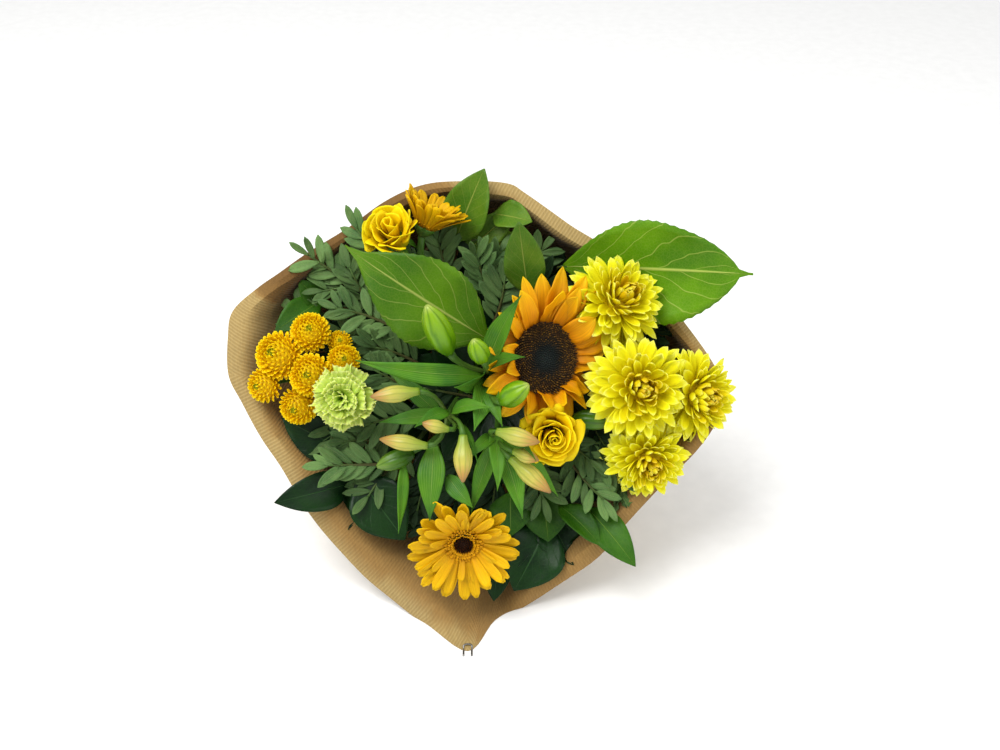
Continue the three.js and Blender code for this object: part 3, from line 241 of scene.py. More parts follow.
def finish_with(tree, shader, colour, height=None, depth_mm=0.1):
    """Links a colour, and a height in millimetres as bump, to the shader."""
    tree.links.new(colour, shader.inputs["Base Color"])
    if height is not None:
        bump = add(tree, "Bump", {"Height": height, "Distance": depth_mm * MM, "Strength": 1.0})
        tree.links.new(bump.outputs["Normal"], shader.inputs["Normal"])


print("white is", linear("#FFFFFF"))

# %% [markdown]
# The floor is a plain sheet of matt white card. Its grain is far too faint to see as a pattern; it
# only keeps the white from looking like a painted flat colour where the shadow falls on it.

# %% Matt white sheet for the floor
floor_finish, tree, shader = new_finish("matt_white_sheet", 0.9, 0.2)
grain = add(tree, "TexNoise", {"Vector": add(tree, "TexCoord").outputs["Object"], "Scale": 60.0})
tint = add(tree, "ValToRGB", {"Fac": grain.outputs["Fac"]}, [(0.3, "#F4F4F3"), (0.7, "#F8F8F7")])
finish_with(tree, shader, tint.outputs["Color"])
floor.data.materials.append(floor_finish)
print("floor finish", floor_finish.name)

# %% [markdown]
# A petal is thin living tissue: matt to satin, a little see-through, paler or darker at its foot,
# with fine streaks that run along it. Every blade in this file carries a UV map with U across it
# and V along it, and a number of its own, `shade`, so one recipe serves all petals: a ramp along
# V, streaks stretched along V, and a small change of brightness from petal to petal.


# %% Finishes of the petals
def petal_finish(name, stops, streaks=26.0, contrast=0.14, roughness=0.55, subsurface=0.3,
                 heart=None):
    """Petal tissue: a colour ramp from foot to tip, fine streaks, and a shade for each petal."""
    material, tree, shader = new_finish(name, roughness, 0.14, subsurface)
    shader.inputs["Subsurface Radius"].default_value = (1.0, 0.8, 0.1)
    shader.inputs["Subsurface Scale"].default_value = 0.003
    uv = add(tree, "UVMap").outputs["UV"]
    along = add(tree, "SeparateXYZ", {"Vector": uv})
    shade = add(tree, "Attribute", attribute_name="shade").outputs["Fac"]
    body = add(tree, "ValToRGB", {"Fac": along.outputs["Y"]}, stops).outputs["Color"]
    if heart:
        body = mixed(tree, ranged(tree, shade, 0.12, 0.5, 0.75, 0.0), body, heart)
    stretched = add(tree, "Mapping", {"Vector": uv, "Scale": (streaks, 1.6, 1.0)})
    offset = add(tree, "CombineXYZ", {"Z": maths(tree, "MULTIPLY", shade, 37.0)})
    place = add(tree, "VectorMath", {0: stretched.outputs["Vector"], 1: offset.outputs["Vector"]},
                operation="ADD")
    streak = add(tree, "TexNoise", {"Vector": place.outputs["Vector"], "Scale": 1.0, "Detail": 3.0})
    dim = ranged(tree, streak.outputs["Fac"], 0.3, 0.7, 1.0 - contrast, 1.0 + contrast * 0.3)
    own = ranged(tree, shade, 0.0, 1.0, 0.8, 1.08)
    colour = scaled(tree, body, maths(tree, "MULTIPLY", dim, own))
    finish_with(tree, shader, colour, streak.outputs["Fac"], 0.12)
    return material


SUNFLOWER_RAY = petal_finish("sunflower_ray_tissue", [
    (0.0, "#B26400"), (0.3, "#D98700"), (0.75, "#E7A400"), (1.0, "#E7B702")], contrast=0.22)
GERBERA_RAY = petal_finish("gerbera_ray_tissue", [
    (0.0, "#BF7E00"), (0.35, "#D19900"), (1.0, "#DAAA00")], 12.0, 0.16)
GERBERA_FLORET = petal_finish("gerbera_floret_tissue", [(0.0, "#A86800"), (1.0, "#E09C01")])
ROSE_PETAL = petal_finish("rose_petal_tissue", [
    (0.0, "#C4A802"), (0.3, "#E2B801"), (0.85, "#EFCA02"), (1.0, "#EFD00A")], 18.0, 0.08, 0.6)
ROSE_GUARD = petal_finish("rose_guard_petal_tissue", [
    (0.0, "#A9A803"), (0.35, "#DDBD02"), (0.85, "#E9CA04"), (1.0, "#D9C806")], 18.0, 0.1, 0.6)
MUM_STRAP = petal_finish("chrysanthemum_strap_tissue", [
    (0.0, "#DCC400"), (0.35, "#E2D206"), (0.8, "#E6DE16"), (1.0, "#E8E460")], 14.0, 0.06,
    subsurface=0.5, heart="#DCAA00")
BUTTON_FLORET = petal_finish("button_floret_tissue", [
    (0.0, "#BC8600"), (0.5, "#F0BA00"), (1.0, "#FBD200")], 8.0, 0.1)
CARNATION_RUFFLE = petal_finish("carnation_ruffle_tissue", [
    (0.0, "#638F1A"), (0.45, "#A1C139"), (0.85, "#C1D55F"), (1.0, "#D3DD7D")], 16.0, 0.1)
BUTTON_EYE = petal_finish("button_eye_tissue", [(0.0, "#5D750A"), (1.0, "#8F9D13")], 8.0, 0.1)
print("petal finishes", len([m for m in bpy.data.materials if m.name.endswith("tissue")]))

# %% [markdown]
# A leaf shows its veins. On a broad leaf a pale rib runs along the middle and side veins leave it
# in curved pairs, with a fine net between them; on the leaf of a lily all veins run along it. Both
# are lines worked out from the leaf's UV map, so they follow the blade however it bends. Waxy
# leaves such as salal are dark and glossy, and pistache leaflets are matt and a little grey.


# %% Finishes of the leaves
def leaf_finish(name, blade, deep, vein, pairs=7.0, slant=1.3, strength=0.7, roughness=0.42,
                net=0.14, clouds=45.0):
    """A veined blade; `pairs` side veins lean forward by `slant`, and `pairs` 0 makes them run along."""
    material, tree, shader = new_finish(name, roughness, 0.15, 0.06)
    shader.inputs["Subsurface Radius"].default_value = (0.5, 1.0, 0.2)
    coords = add(tree, "TexCoord").outputs["Object"]
    uv = add(tree, "SeparateXYZ", {"Vector": add(tree, "UVMap").outputs["UV"]})
    shade = add(tree, "Attribute", attribute_name="shade").outputs["Fac"]
    off = maths(tree, "SUBTRACT", uv.outputs["X"], 0.5)
    side = maths(tree, "ABSOLUTE", off)
    rib = ranged(tree, side, 0.004, 0.02, 1.0, 0.0)
    if pairs:
        wander = add(tree, "TexNoise", {"Vector": coords, "Scale": 38.0, "Detail": 2.0}).outputs["Fac"]
        lean = maths(tree, "MULTIPLY", maths(tree, "POWER", side, 0.8), -slant * 2.0)
        phase = maths(tree, "MULTIPLY_ADD", uv.outputs["Y"], pairs, lean)
        hand = maths(tree, "GREATER_THAN", off, 0.0)
        phase = maths(tree, "MULTIPLY_ADD", hand, 0.37, phase)
        phase = maths(tree, "MULTIPLY_ADD", wander, 0.9, phase)
        width = 0.045
    else:
        phase = maths(tree, "MULTIPLY", uv.outputs["X"], 11.0)
        width = 0.22
    line = ranged(tree, off_line(tree, phase), 0.0, width, strength, 0.0)
    cells = add(tree, "TexVoronoi", {"Vector": coords, "Scale": 420.0}, feature="DISTANCE_TO_EDGE")
    mesh = ranged(tree, cells.outputs["Distance"], 0.0, 0.12, net, 0.0)
    veins = maths(tree, "MAXIMUM", maths(tree, "MAXIMUM", rib, line), mesh)
    cloud = add(tree, "TexNoise", {"Vector": coords, "Scale": clouds, "Detail": 3.0}).outputs["Fac"]
    cloud = ranged(tree, cloud, 0.35, 0.65)
    colour = mixed(tree, veins, mixed(tree, cloud, deep, blade), vein)
    colour = scaled(tree, colour, ranged(tree, shade, 0.0, 1.0, 0.62, 1.15))
    finish_with(tree, shader, colour, maths(tree, "SUBTRACT", veins, cloud), 0.25)
    return material


BROAD_LEAF = leaf_finish("broad_garden_leaf", "#568304", "#3D6B04", "#9CAA4E", 6.0, 2.2, 0.6, 0.42,
                         0.1, 26.0)
PALE_LEAF = leaf_finish("pale_green_leaf", "#537216", "#3A6211", "#818D3B", 7.0, 2.0, 0.45)
SALAL_LEAF = leaf_finish("waxy_salal_leaf", "#12330D", "#08220B", "#274822", 6.0, 2.4, 0.4, 0.34)
SALAL_PALE = leaf_finish("young_salal_leaf", "#2E5A08", "#1E4706", "#557426", 6.0, 2.4, 0.3, 0.45)
LILY_LEAF = leaf_finish("smooth_lily_leaf", "#4C7D16", "#32661A", "#7C9C44", 0.0, 0.0, 0.35, 0.38, 0.0)
PISTACHE_LEAF = leaf_finish("matt_pistache_leaflet", "#5C7A42", "#416032", "#82925C", 5.0, 1.6,
                            0.18, 0.6, 0.1)
# A darker copy of the pistache finish, for leaflets deep in the bunch: painted shade.
SHADE_PAINTED_LEAFLET = leaf_finish("shade_painted_pistache_leaflet", "#253E1F", "#162D16", "#3D522E", 5.0, 1.6,
                        0.18, 0.6, 0.1)
print("leaf finishes ready")

# %% [markdown]
# Buds and stems are waxy and round, with lines that run along them. Their UV map has U round and
# V along, so the same thought serves: a ramp from foot to tip, and lines over U.


# %% Finishes of buds and stems
def bud_finish(name, stops, seam, seams=6.0, roughness=0.35):
    """A waxy bud: a ramp from foot to tip, with darker or paler lines along it."""
    material, tree, shader = new_finish(name, roughness, 0.3, 0.1)
    shader.inputs["Subsurface Radius"].default_value = (0.6, 1.0, 0.2)
    uv = add(tree, "SeparateXYZ", {"Vector": add(tree, "UVMap").outputs["UV"]})
    coords = add(tree, "TexCoord").outputs["Object"]
    body = add(tree, "ValToRGB", {"Fac": uv.outputs["Y"]}, stops)
    turn = maths(tree, "MULTIPLY", uv.outputs["X"], seams)
    wobble = add(tree, "TexNoise", {"Vector": coords, "Scale": 90.0, "Detail": 2.0}).outputs["Fac"]
    turn = maths(tree, "MULTIPLY_ADD", wobble, 0.5, turn)
    line = ranged(tree, off_line(tree, turn), 0.02, 0.2, 0.6, 0.0)
    finish_with(tree, shader, mixed(tree, line, body.outputs["Color"], seam), line, 0.1)
    return material


LILY_BUD = bud_finish("waxy_lily_bud", [
    (0.0, "#3C6A03"), (0.45, "#628F04"), (0.9, "#769B08"), (1.0, "#98A84C")], "#376606")
# A darker copy of the lily bud finish, for the two low buds: painted shade.
SHADE_PAINTED_LILY_BUD = bud_finish("shade_painted_lily_bud", [
    (0.0, "#294F06"), (0.5, "#3E6709"), (1.0, "#688431")], "#284F06")
ALSTROEMERIA_BUD = bud_finish("flushed_alstroemeria_bud", [
    (0.0, "#6B8A24"), (0.3, "#9CA442"), (0.62, "#B3A84C"), (0.84, "#A9803F"), (1.0, "#8E6236")],
    "#7E8430", 9.0)
STEM_GREEN = bud_finish("cut_flower_stem", [(0.0, "#57682B"), (0.5, "#47641D"), (1.0, "#3D6419")],
                        "#305314", 5.0, 0.5)
WOODY_STEM = bud_finish("woody_twig", [(0.0, "#4F4023"), (0.6, "#444C20"), (1.0, "#3C5C23")],
                        "#343415", 5.0, 0.65)
CALYX_GREEN = bud_finish("green_calyx", [(0.0, "#3C5C1C"), (1.0, "#557525")], "#305017", 14.0, 0.6)
print("bud and stem finishes ready")

# %% [markdown]
# The disc of a sunflower is a field of hundreds of tiny florets: brown with golden specks of
# pollen in a ring, and nearly black with a breath of green in the middle where they are shut. Each
# floret carries `shade`, which here is its distance from the middle.

# %% Finishes of the discs
DISC_FLORET, tree, shader = new_finish("sunflower_disc_floret", 0.75, 0.3, 0.05)
ring = add(tree, "Attribute", attribute_name="shade").outputs["Fac"]
tip = add(tree, "SeparateXYZ", {"Vector": add(tree, "UVMap").outputs["UV"]}).outputs["Y"]
ring_colour = add(tree, "ValToRGB", {"Fac": ring}, [
    (0.0, "#202B28"), (0.3, "#121A18"), (0.5, "#17150F"), (0.75, "#2C1D0C"), (1.0, "#231508")])
pollen = add(tree, "TexNoise", {"Vector": add(tree, "TexCoord").outputs["Object"],
                                "Scale": 700.0, "Detail": 2.0}).outputs["Fac"]
pollen, outside = ranged(tree, pollen, 0.52, 0.62), ranged(tree, ring, 0.35, 0.6)
gold = maths(tree, "MULTIPLY", maths(tree, "MULTIPLY", pollen, outside), tip)
gold = maths(tree, "MULTIPLY", gold, 0.5)
finish_with(tree, shader, mixed(tree, gold, ring_colour.outputs["Color"], "#C08A2A"))
EYE_FLORET = petal_finish("gerbera_eye_floret", [(0.0, "#0E0806"), (0.8, "#24130A"), (1.0, "#3C1E0A")])
print("disc finishes ready")

# %% [markdown]
# The wrapper is natural kraft paper with pressed ribs, 2.7 mm apart, which catch the light as
# fine pale and dark stripes; the ribs have a bump, and their stripes are also painted into the
# colour as painted light and shade. Its UV map is the sheet laid flat, in metres, so the ribs keep
# their spacing all over the cone. Real paper also shows long fibres and a soft uneven tan. Deep in
# the cone, where the light has bounced from brown to brown, the tan is painted as a darker, richer
# brown, which is painted shade; the map's third value, the attribute `depth`, grows from the rim
# inwards and sets that painted shade. Above 1 it also paints the rim darker where it leans away
# from the light.

# %% Finish of the paper
RIB_PITCH = 2.7
KRAFT, tree, shader = new_finish("ribbed_kraft_paper", 0.82, 0.25, sheen=0.1)
flat_map = add(tree, "SeparateXYZ", {"Vector": add(tree, "UVMap").outputs["UV"]})
coords = add(tree, "TexCoord").outputs["Object"]
turn = maths(tree, "MULTIPLY", flat_map.outputs["X"], 2 * math.pi / (RIB_PITCH * MM))
rib = ranged(tree, maths(tree, "SINE", turn), -0.6, 0.9)
fibre_place = add(tree, "Mapping", {"Vector": coords, "Scale": (260.0, 60.0, 60.0)})
fibre = add(tree, "TexNoise", {"Vector": fibre_place.outputs["Vector"], "Scale": 3.0,
                               "Detail": 5.0}).outputs["Fac"]
cloud = add(tree, "TexNoise", {"Vector": coords, "Scale": 14.0, "Detail": 4.0}).outputs["Fac"]
# `depth` is painted shade: 0 on the lit lip, 1 deep in the cone, and above 1 where the rim leans away from
# the light.
deep = add(tree, "Attribute", attribute_name="depth").outputs["Fac"]
# The rib mask also paints pale and dark stripes into the tan and the brown: painted light and shade on the
# ribs, besides their bump.
tan = mixed(tree, rib, "#98804D", "#A68E5B")
# This brown is painted shade: the colour of light bounced from brown to brown deep in the cone.
painted_shade_brown = mixed(tree, rib, "#8A6A38", "#8F6F3C")
kraft_with_painted_shade = mixed(tree, deep, tan, painted_shade_brown)
# Above 1, `depth` paints the paper darker still: painted shade where the rim leans away from the light.
kraft_with_painted_shade = mixed(tree, ranged(tree, deep, 1.0, 2.0), kraft_with_painted_shade, "#6A4C22")
speck, patch = ranged(tree, fibre, 0.3, 0.7, 0.88, 1.06), ranged(tree, cloud, 0.3, 0.7, 0.93, 1.04)
paper_colour = scaled(tree, kraft_with_painted_shade, maths(tree, "MULTIPLY", speck, patch))
finish_with(tree, shader, paper_colour, maths(tree, "MULTIPLY_ADD", fibre, 0.4, rib), 0.22)

TWINE, tree, shader = new_finish("jute_twine", 0.9, 0.2, sheen=0.3)
coords = add(tree, "TexCoord").outputs["Object"]
strand = add(tree, "TexWave", {"Vector": coords, "Scale": 320.0, "Distortion": 3.0,
                               "Detail": 2.0}, bands_direction="DIAGONAL").outputs["Fac"]
jute = add(tree, "ValToRGB", {"Fac": strand}, [(0.1, "#9C8450"), (0.8, "#D8C694")])
finish_with(tree, shader, jute.outputs["Color"], strand, 0.3)

STEEL_WIRE, tree, shader = new_finish("bright_steel_wire", 0.32, metallic=1.0)
scratch = add(tree, "TexNoise", {"Vector": add(tree, "TexCoord").outputs["Object"],
                                 "Scale": 900.0}).outputs["Fac"]
steel = add(tree, "ValToRGB", {"Fac": scratch}, [(0.3, "#5E5C58"), (0.7, "#9A9894")])
finish_with(tree, shader, steel.outputs["Color"], scratch, 0.02)
print("paper, twine and steel ready")

# %% [markdown]
# Petals and leaves all start as one thing: a flat blade, one long and one wide, cut from a grid.
# In edit mode each row of the grid is drawn in to the outline of that kind of blade, the rim is
# notched where the real one has teeth, and the middle is pressed down where it has a groove. It
# is modelled once here; later every copy is bent, cupped and turned in its own way.


# %% Model a flat blade
Pattern = namedtuple("Pattern", "points faces corners")


def taken(piece):
    """The modelled piece's points, faces and UV corners; the piece itself is removed."""
    mesh = piece.data
    points = np.array([vertex.co[:] for vertex in mesh.vertices])
    faces = [tuple(face.vertices) for face in mesh.polygons]
    corners = np.array([loop.uv[:] for loop in mesh.uv_layers.active.data])
    bpy.data.objects.remove(piece)
    return Pattern(points, faces, corners)


def select_where(piece, wanted):
    """Selects, in edit mode, the vertices for which `wanted` is true."""
    bpy.ops.mesh.select_all(action="DESELECT")
    edit = bmesh.from_edit_mesh(piece.data)
    for vertex in edit.verts:
        vertex.select_set(bool(wanted(vertex.co)))
    edit.select_flush_mode()
    bmesh.update_edit_mesh(piece.data)


def model_blade(rows, cols, outline, teeth=0.0, groove=0.0, ruffle=0.0):
    """A flat blade from its foot at the origin to its tip at Y = 1."""
    bpy.ops.object.select_all(action="DESELECT")
    bpy.ops.mesh.primitive_grid_add(x_subdivisions=cols, y_subdivisions=rows, size=1)
    piece = bpy.context.object
    bpy.ops.object.mode_set(mode="EDIT")
    bpy.ops.mesh.select_mode(type="VERT")
    for row in range(rows + 1):
        height = row / rows - 0.5
        select_where(piece, lambda co: abs(co.y - height) < 1e-4)
        share = max(outline(row / rows), 0.02)
        bite = 1 - teeth if row % 2 else 1
        bpy.ops.transform.resize(value=(share, 1, 1), center_override=(0, height, 0))
        if teeth:
            select_where(piece, lambda co: abs(co.y - height) < 1e-4 and abs(co.x) > share * 0.49)
            bpy.ops.transform.resize(value=(bite, 1, 1), center_override=(0, height, 0))
    if groove:
        select_where(piece, lambda co: abs(co.x) < 1e-3)
        bpy.ops.transform.translate(value=(0, 0, -groove))
    if ruffle:
        select_where(piece, lambda co: co.y > 0.49 and round((co.x + 0.5) * cols) % 2)
        bpy.ops.transform.translate(value=(0, -ruffle, 0))
    bpy.ops.mesh.select_all(action="SELECT")
    bpy.ops.transform.translate(value=(0, 0.5, 0))
    bpy.ops.object.mode_set(mode="OBJECT")
    return taken(piece)


def lens(widest, foot=0.0, tip=0.0, sharp=1.0):
    """An outline that swells from `foot` to full width at `widest` and falls to `tip`."""
    def outline(t):
        if t < widest or widest >= 1:
            return foot + (1 - foot) * math.sin(math.pi / 2 * t / widest)
        fall = (t - widest) / (1 - widest)
        return tip + (1 - tip) * math.cos(math.pi / 2 * fall) ** sharp
    return outline


def drawn_out(widest, sharp):
    """The outline of a garden leaf: a broad body with a drawn-out tip."""
    body = lens(widest, 0.04, 0.0, sharp)
    return lambda t: max(body(min(t / 0.94, 1.0)), 1.1 * (1 - t) if t > 0.88 else 0.0)


BROAD = model_blade(44, 10, drawn_out(0.42, 1.15), teeth=0.035)
FULL = model_blade(44, 10, drawn_out(0.54, 0.72), teeth=0.03)
OVATE = model_blade(18, 8, lens(0.42, 0.05, 0.0, 0.9))
LANCE = model_blade(18, 6, lens(0.36, 0.2, 0.0, 1.25), groove=0.03)
LEAFLET = model_blade(7, 4, lens(0.56, 0.14, 0.08, 0.62), groove=0.02)
RAY = model_blade(12, 6, lens(0.5, 0.42, 0.0, 0.75), groove=0.04)
STRAP = model_blade(10, 4, lens(0.74, 0.45, 0.3, 0.45), groove=0.05)
SPOON = model_blade(9, 4, lens(0.6, 0.42, 0.0, 0.62), groove=0.03)
QUILL = model_blade(4, 2, lens(0.75, 0.5, 0.3, 0.5))
FAN = model_blade(10, 14, lens(1.0, 0.16), ruffle=0.05)
SCALE = model_blade(5, 2, lens(0.3, 0.6, 0.0, 1.0))
WRAP_PETAL = model_blade(12, 12, lens(0.8, 0.55, 0.72, 0.5))
print("the broad leaf has", len(BROAD.faces), "faces and a quill", len(QUILL.faces))

# %% [markdown]
# A living blade is never flat. Its rib leaves the stem at some lift and curls along its length, its
# halves cup up or fold back, it twists, sways to one side, and its rim waves. One function gives a
# pattern all of that at once by carrying its points along a curved rib, and another fits such a
# blade between two places on the face, which is how leaves are laid to match the bunch.


# %% Bend a blade
RIB_STEPS = np.linspace(0, 1, 41)


def swept(pattern, length, width, lift=0.0, curl=0.0, hook=0.0, cup=0.0, twist=0.0, sway=0.0,
          wave=0.0, waves=2.5, phase=0.0):
    """The pattern's points, bent: angles in degrees, sizes in millimetres, foot at the origin."""
    across, t = pattern.points[:, 0] * 2, pattern.points[:, 1]
    heading = np.radians(lift + curl * RIB_STEPS + hook * np.clip((RIB_STEPS - 0.6) / 0.4, 0, 1) ** 2)
    middle = (heading[1:] + heading[:-1]) / 2
    step = length / (len(RIB_STEPS) - 1)
    rib_y = np.concatenate([[0], np.cumsum(np.cos(middle)) * step])
    rib_z = np.concatenate([[0], np.cumsum(np.sin(middle)) * step])
    y, z = np.interp(t, RIB_STEPS, rib_y), np.interp(t, RIB_STEPS, rib_z)
    head = np.interp(t, RIB_STEPS, heading)
    roll = math.radians(cup) if abs(cup) > 0.5 else 0.01
    side = width / 2 * np.sin(roll * across) / roll
    up = width / 2 * (1 - np.cos(roll * across)) / roll + pattern.points[:, 2] * width
    up = up + wave * width / 2 * across ** 2 * np.sin(2 * np.pi * waves * t + phase + across)
    turn = np.radians(twist) * t
    side, up = side * np.cos(turn) - up * np.sin(turn), side * np.sin(turn) + up * np.cos(turn)
    side = side + sway * length * t ** 2
    return np.stack([side, y - up * np.sin(head), z + up * np.cos(head)], axis=1)


def spun(angle):
    """The matrix of a turn round +Z, in radians."""
    cos, sin = math.cos(angle), math.sin(angle)
    return basis((cos, sin, 0), (-sin, cos, 0), (0, 0, 1), (0, 0, 0))


def between(pattern, base, tip, width, facing, curl=0.0, hook=0.0, sway=0.0, **shape):
    """A blade from one place on the face to another; `facing` is the way its upper side looks."""
    start, end = on_face(base), on_face(tip)
    chord = np.linalg.norm(end - start)
    ends = Pattern(np.array([[0, 0, 0], [0, 1, 0]]), [], [])
    reach = swept(ends, 1.0, 1.0, curl=curl, hook=hook, sway=sway)[1]
    length = chord / np.linalg.norm(reach)
    rise = math.atan2(reach[2], reach[1])
    swing = math.atan2(reach[0], math.hypot(reach[1], reach[2]))
    points = swept(pattern, length, width, lift=-math.degrees(rise), curl=curl, hook=hook,
                   sway=sway, **shape)
    return moved(moved(points, spun(swing)), stand(start, end - start, faceward(facing)))


def ringed(points, turn, out, height):
    """Carries a blade that points along +Y to the rim of a bloom, `turn` degrees round +Z."""
    return moved(points + np.array([0, out, height]), spun(math.radians(turn)))


# %% [markdown]
# The copies that make up one bloom or spray belong together, so they are gathered into one mesh,
# each copy still a closed thin body of its own once Solidify has given it its thickness. Gathering
# also keeps the number of objects small, though a button flower alone has over a hundred florets.


# %% Gather copies into a piece
class Growth:
    """Gathers copies of patterns, with a shade for each, and makes them one piece."""

    def __init__(self):
        self.points, self.faces, self.corners, self.shades = [], [], [], []
        self.total = 0

    def grow(self, pattern, points, shade=0.5):
        """Adds a copy of a pattern with its own points; `shade` may be one for each point."""
        self.points.append(points)
        self.faces += [tuple(corner + self.total for corner in face) for face in pattern.faces]
        self.corners.append(pattern.corners)
        self.shades.append(np.broadcast_to(shade, (len(points),)))
        self.total += len(points)

    def piece(self, name, finish, slot, nodes=(), thickness=0.5, smooth=180.0):
        """The gathered mesh as an object that rides on the part and stands for `nodes`."""
        mesh = bpy.data.meshes.new(name)
        mesh.from_pydata((np.concatenate(self.points) * MM).tolist(), [], self.faces)
        layer = mesh.uv_layers.new(name="UVMap")
        layer.data.foreach_set("uv", np.concatenate(self.corners).ravel().astype(np.float32))
        shade = mesh.attributes.new("shade", "FLOAT", "POINT")
        shade.data.foreach_set("value", np.concatenate(self.shades).astype(np.float32))
        mesh.update()
        obj = bpy.data.objects.new(name, mesh)
        bpy.context.scene.collection.objects.link(obj)
        return finished(obj, finish, nodes, thickness, smooth)


def finished(obj, finish, nodes=(), thickness=0.0, smooth=180.0):
    """Gives a piece its thickness, smooth shading, finish and body."""
    bpy.ops.object.select_all(action="DESELECT")
    obj.select_set(True)
    bpy.context.view_layer.objects.active = obj
    if thickness:
        wall = obj.modifiers.new("thickness", "SOLIDIFY")
        wall.thickness = thickness * MM
        wall.offset = 0.0
        bpy.ops.object.modifier_apply(modifier=wall.name)
    if smooth >= 180:
        bpy.ops.object.shade_smooth()
    else:
        bpy.ops.object.shade_smooth_by_angle(angle=math.radians(smooth))
    obj.data.materials.append(finish)
    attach(obj, "root")
    if nodes:
        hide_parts(*nodes)
    return obj


print("ready to grow")

# %% [markdown]
# Stems, twigs and ribs are round rods that taper a little. A short cylinder is modelled once and
# its rings are carried along the route of each stem, so a rod is as smooth as its route.


# %% Model a rod
def model_rod(rings, sides):
    """A rod of radius 1 along +Y with closed ends."""
    bpy.ops.object.select_all(action="DESELECT")
    bpy.ops.mesh.primitive_cylinder_add(vertices=sides, radius=1, depth=1, end_fill_type="NGON",
                                        rotation=(-math.pi / 2, 0, 0))
    rod = bpy.context.object
    bpy.ops.object.transform_apply(location=True, rotation=True, scale=True)
    bpy.ops.object.mode_set(mode="EDIT")
    bpy.ops.mesh.select_all(action="SELECT")
    bpy.ops.transform.translate(value=(0, 0.5, 0))
    for ring in range(1, rings):
        bpy.ops.mesh.select_all(action="SELECT")
        bpy.ops.mesh.bisect(plane_co=(0, ring / rings, 0), plane_no=(0, 1, 0))
    bpy.ops.object.mode_set(mode="OBJECT")
    return taken(rod)


def rod_corners(pattern):
    """UV corners with U round the rod and V along it."""
    corners = []
    for face in pattern.faces:
        turns = [math.atan2(pattern.points[i][2], pattern.points[i][0]) / (2 * math.pi) for i in face]
        for corner, turn in zip(face, turns):
            seam = 1.0 if turns[0] - turn > 0.5 else -1.0 if turn - turns[0] > 0.5 else 0.0
            corners.append((turn + seam, pattern.points[corner][1]))
    return np.array(corners)


def rod_pattern(rings, sides=10):
    """A rod of `rings` steps, with its UV corners."""
    rod = model_rod(rings, sides)
    return Pattern(rod.points, rod.faces, rod_corners(rod))


ROD, TWIG = rod_pattern(24), rod_pattern(5)


def smooth_route(places, share):
    """Points of a smooth curve through `places` at shares 0..1 of its run."""
    places = np.array(places, float)
    steps = np.linalg.norm(np.diff(places, axis=0), axis=1)
    knots = np.concatenate([[0], np.cumsum(steps)]) / steps.sum()
    slopes = np.gradient(places, knots, axis=0)
    index = np.clip(np.searchsorted(knots, share, side="right") - 1, 0, len(places) - 2)
    span = (knots[index + 1] - knots[index])[:, None]
    s = ((share - knots[index]) / span[:, 0])[:, None]
    near, far = places[index], places[index + 1]
    return ((2 * s**3 - 3 * s**2 + 1) * near + (s**3 - 2 * s**2 + s) * span * slopes[index]
            + (3 * s**2 - 2 * s**3) * far + (s**3 - s**2) * span * slopes[index + 1])


def along_route(pattern, places, radii):
    """Carries a rod along a route; `radii` are its radii at even shares of the run."""
    t = pattern.points[:, 1]
    middle = smooth_route(places, t)
    ahead = smooth_route(places, np.minimum(t + 0.01, 1.0))
    behind = smooth_route(places, np.maximum(t - 0.01, 0.0))
    way = (ahead - behind) / np.linalg.norm(ahead - behind, axis=1)[:, None]
    helper = OUT_FACE + RIGHT * 0.31
    side = np.cross(way, helper)
    side /= np.linalg.norm(side, axis=1)[:, None]
    up = np.cross(side, way)
    radius = np.interp(t, np.linspace(0, 1, len(radii)), radii)[:, None]
    return (middle + side * radius * pattern.points[:, 0:1]
            + up * radius * pattern.points[:, 2:3])


def cushion(matrix, heights, radii):
    """A round cushion on the axis of a bloom, out of which its petals or florets stand."""
    return moved(along_route(TWIG, [np.array([0, 0, z]) for z in heights], radii), matrix)


print("the long rod has", len(ROD.faces), "faces")

# %% [markdown]
# The cone of paper is a sheet rolled from a tail round the stems, through a narrow neck at the
# tie, to a wide rim that is rolled outwards. Its rim is a list of places; between
# them the sheet is a smooth surface. A mesh made by hand from a cylinder could not hold the four
# folded corners and the flat front tip, so this one is lofted through its rings in code.

# %% The rim of the wrapper
AXIS_RISE = math.radians(23.3)
BINDING_DEPTH = 253.0
TIE_HALF = 22.0
WRAP_RADIUS = 31.0
WRAP_TAIL = 96.0
REST_DEPTH = 26.0
AXIS = np.array([0.0, -math.cos(AXIS_RISE), math.sin(AXIS_RISE)])
AXIS_UP = np.array([0.0, math.sin(AXIS_RISE), math.cos(AXIS_RISE)])
BINDING = FACE_MIDDLE - AXIS * BINDING_DEPTH
RIM_MIDDLE = (-8.0, -20.0)
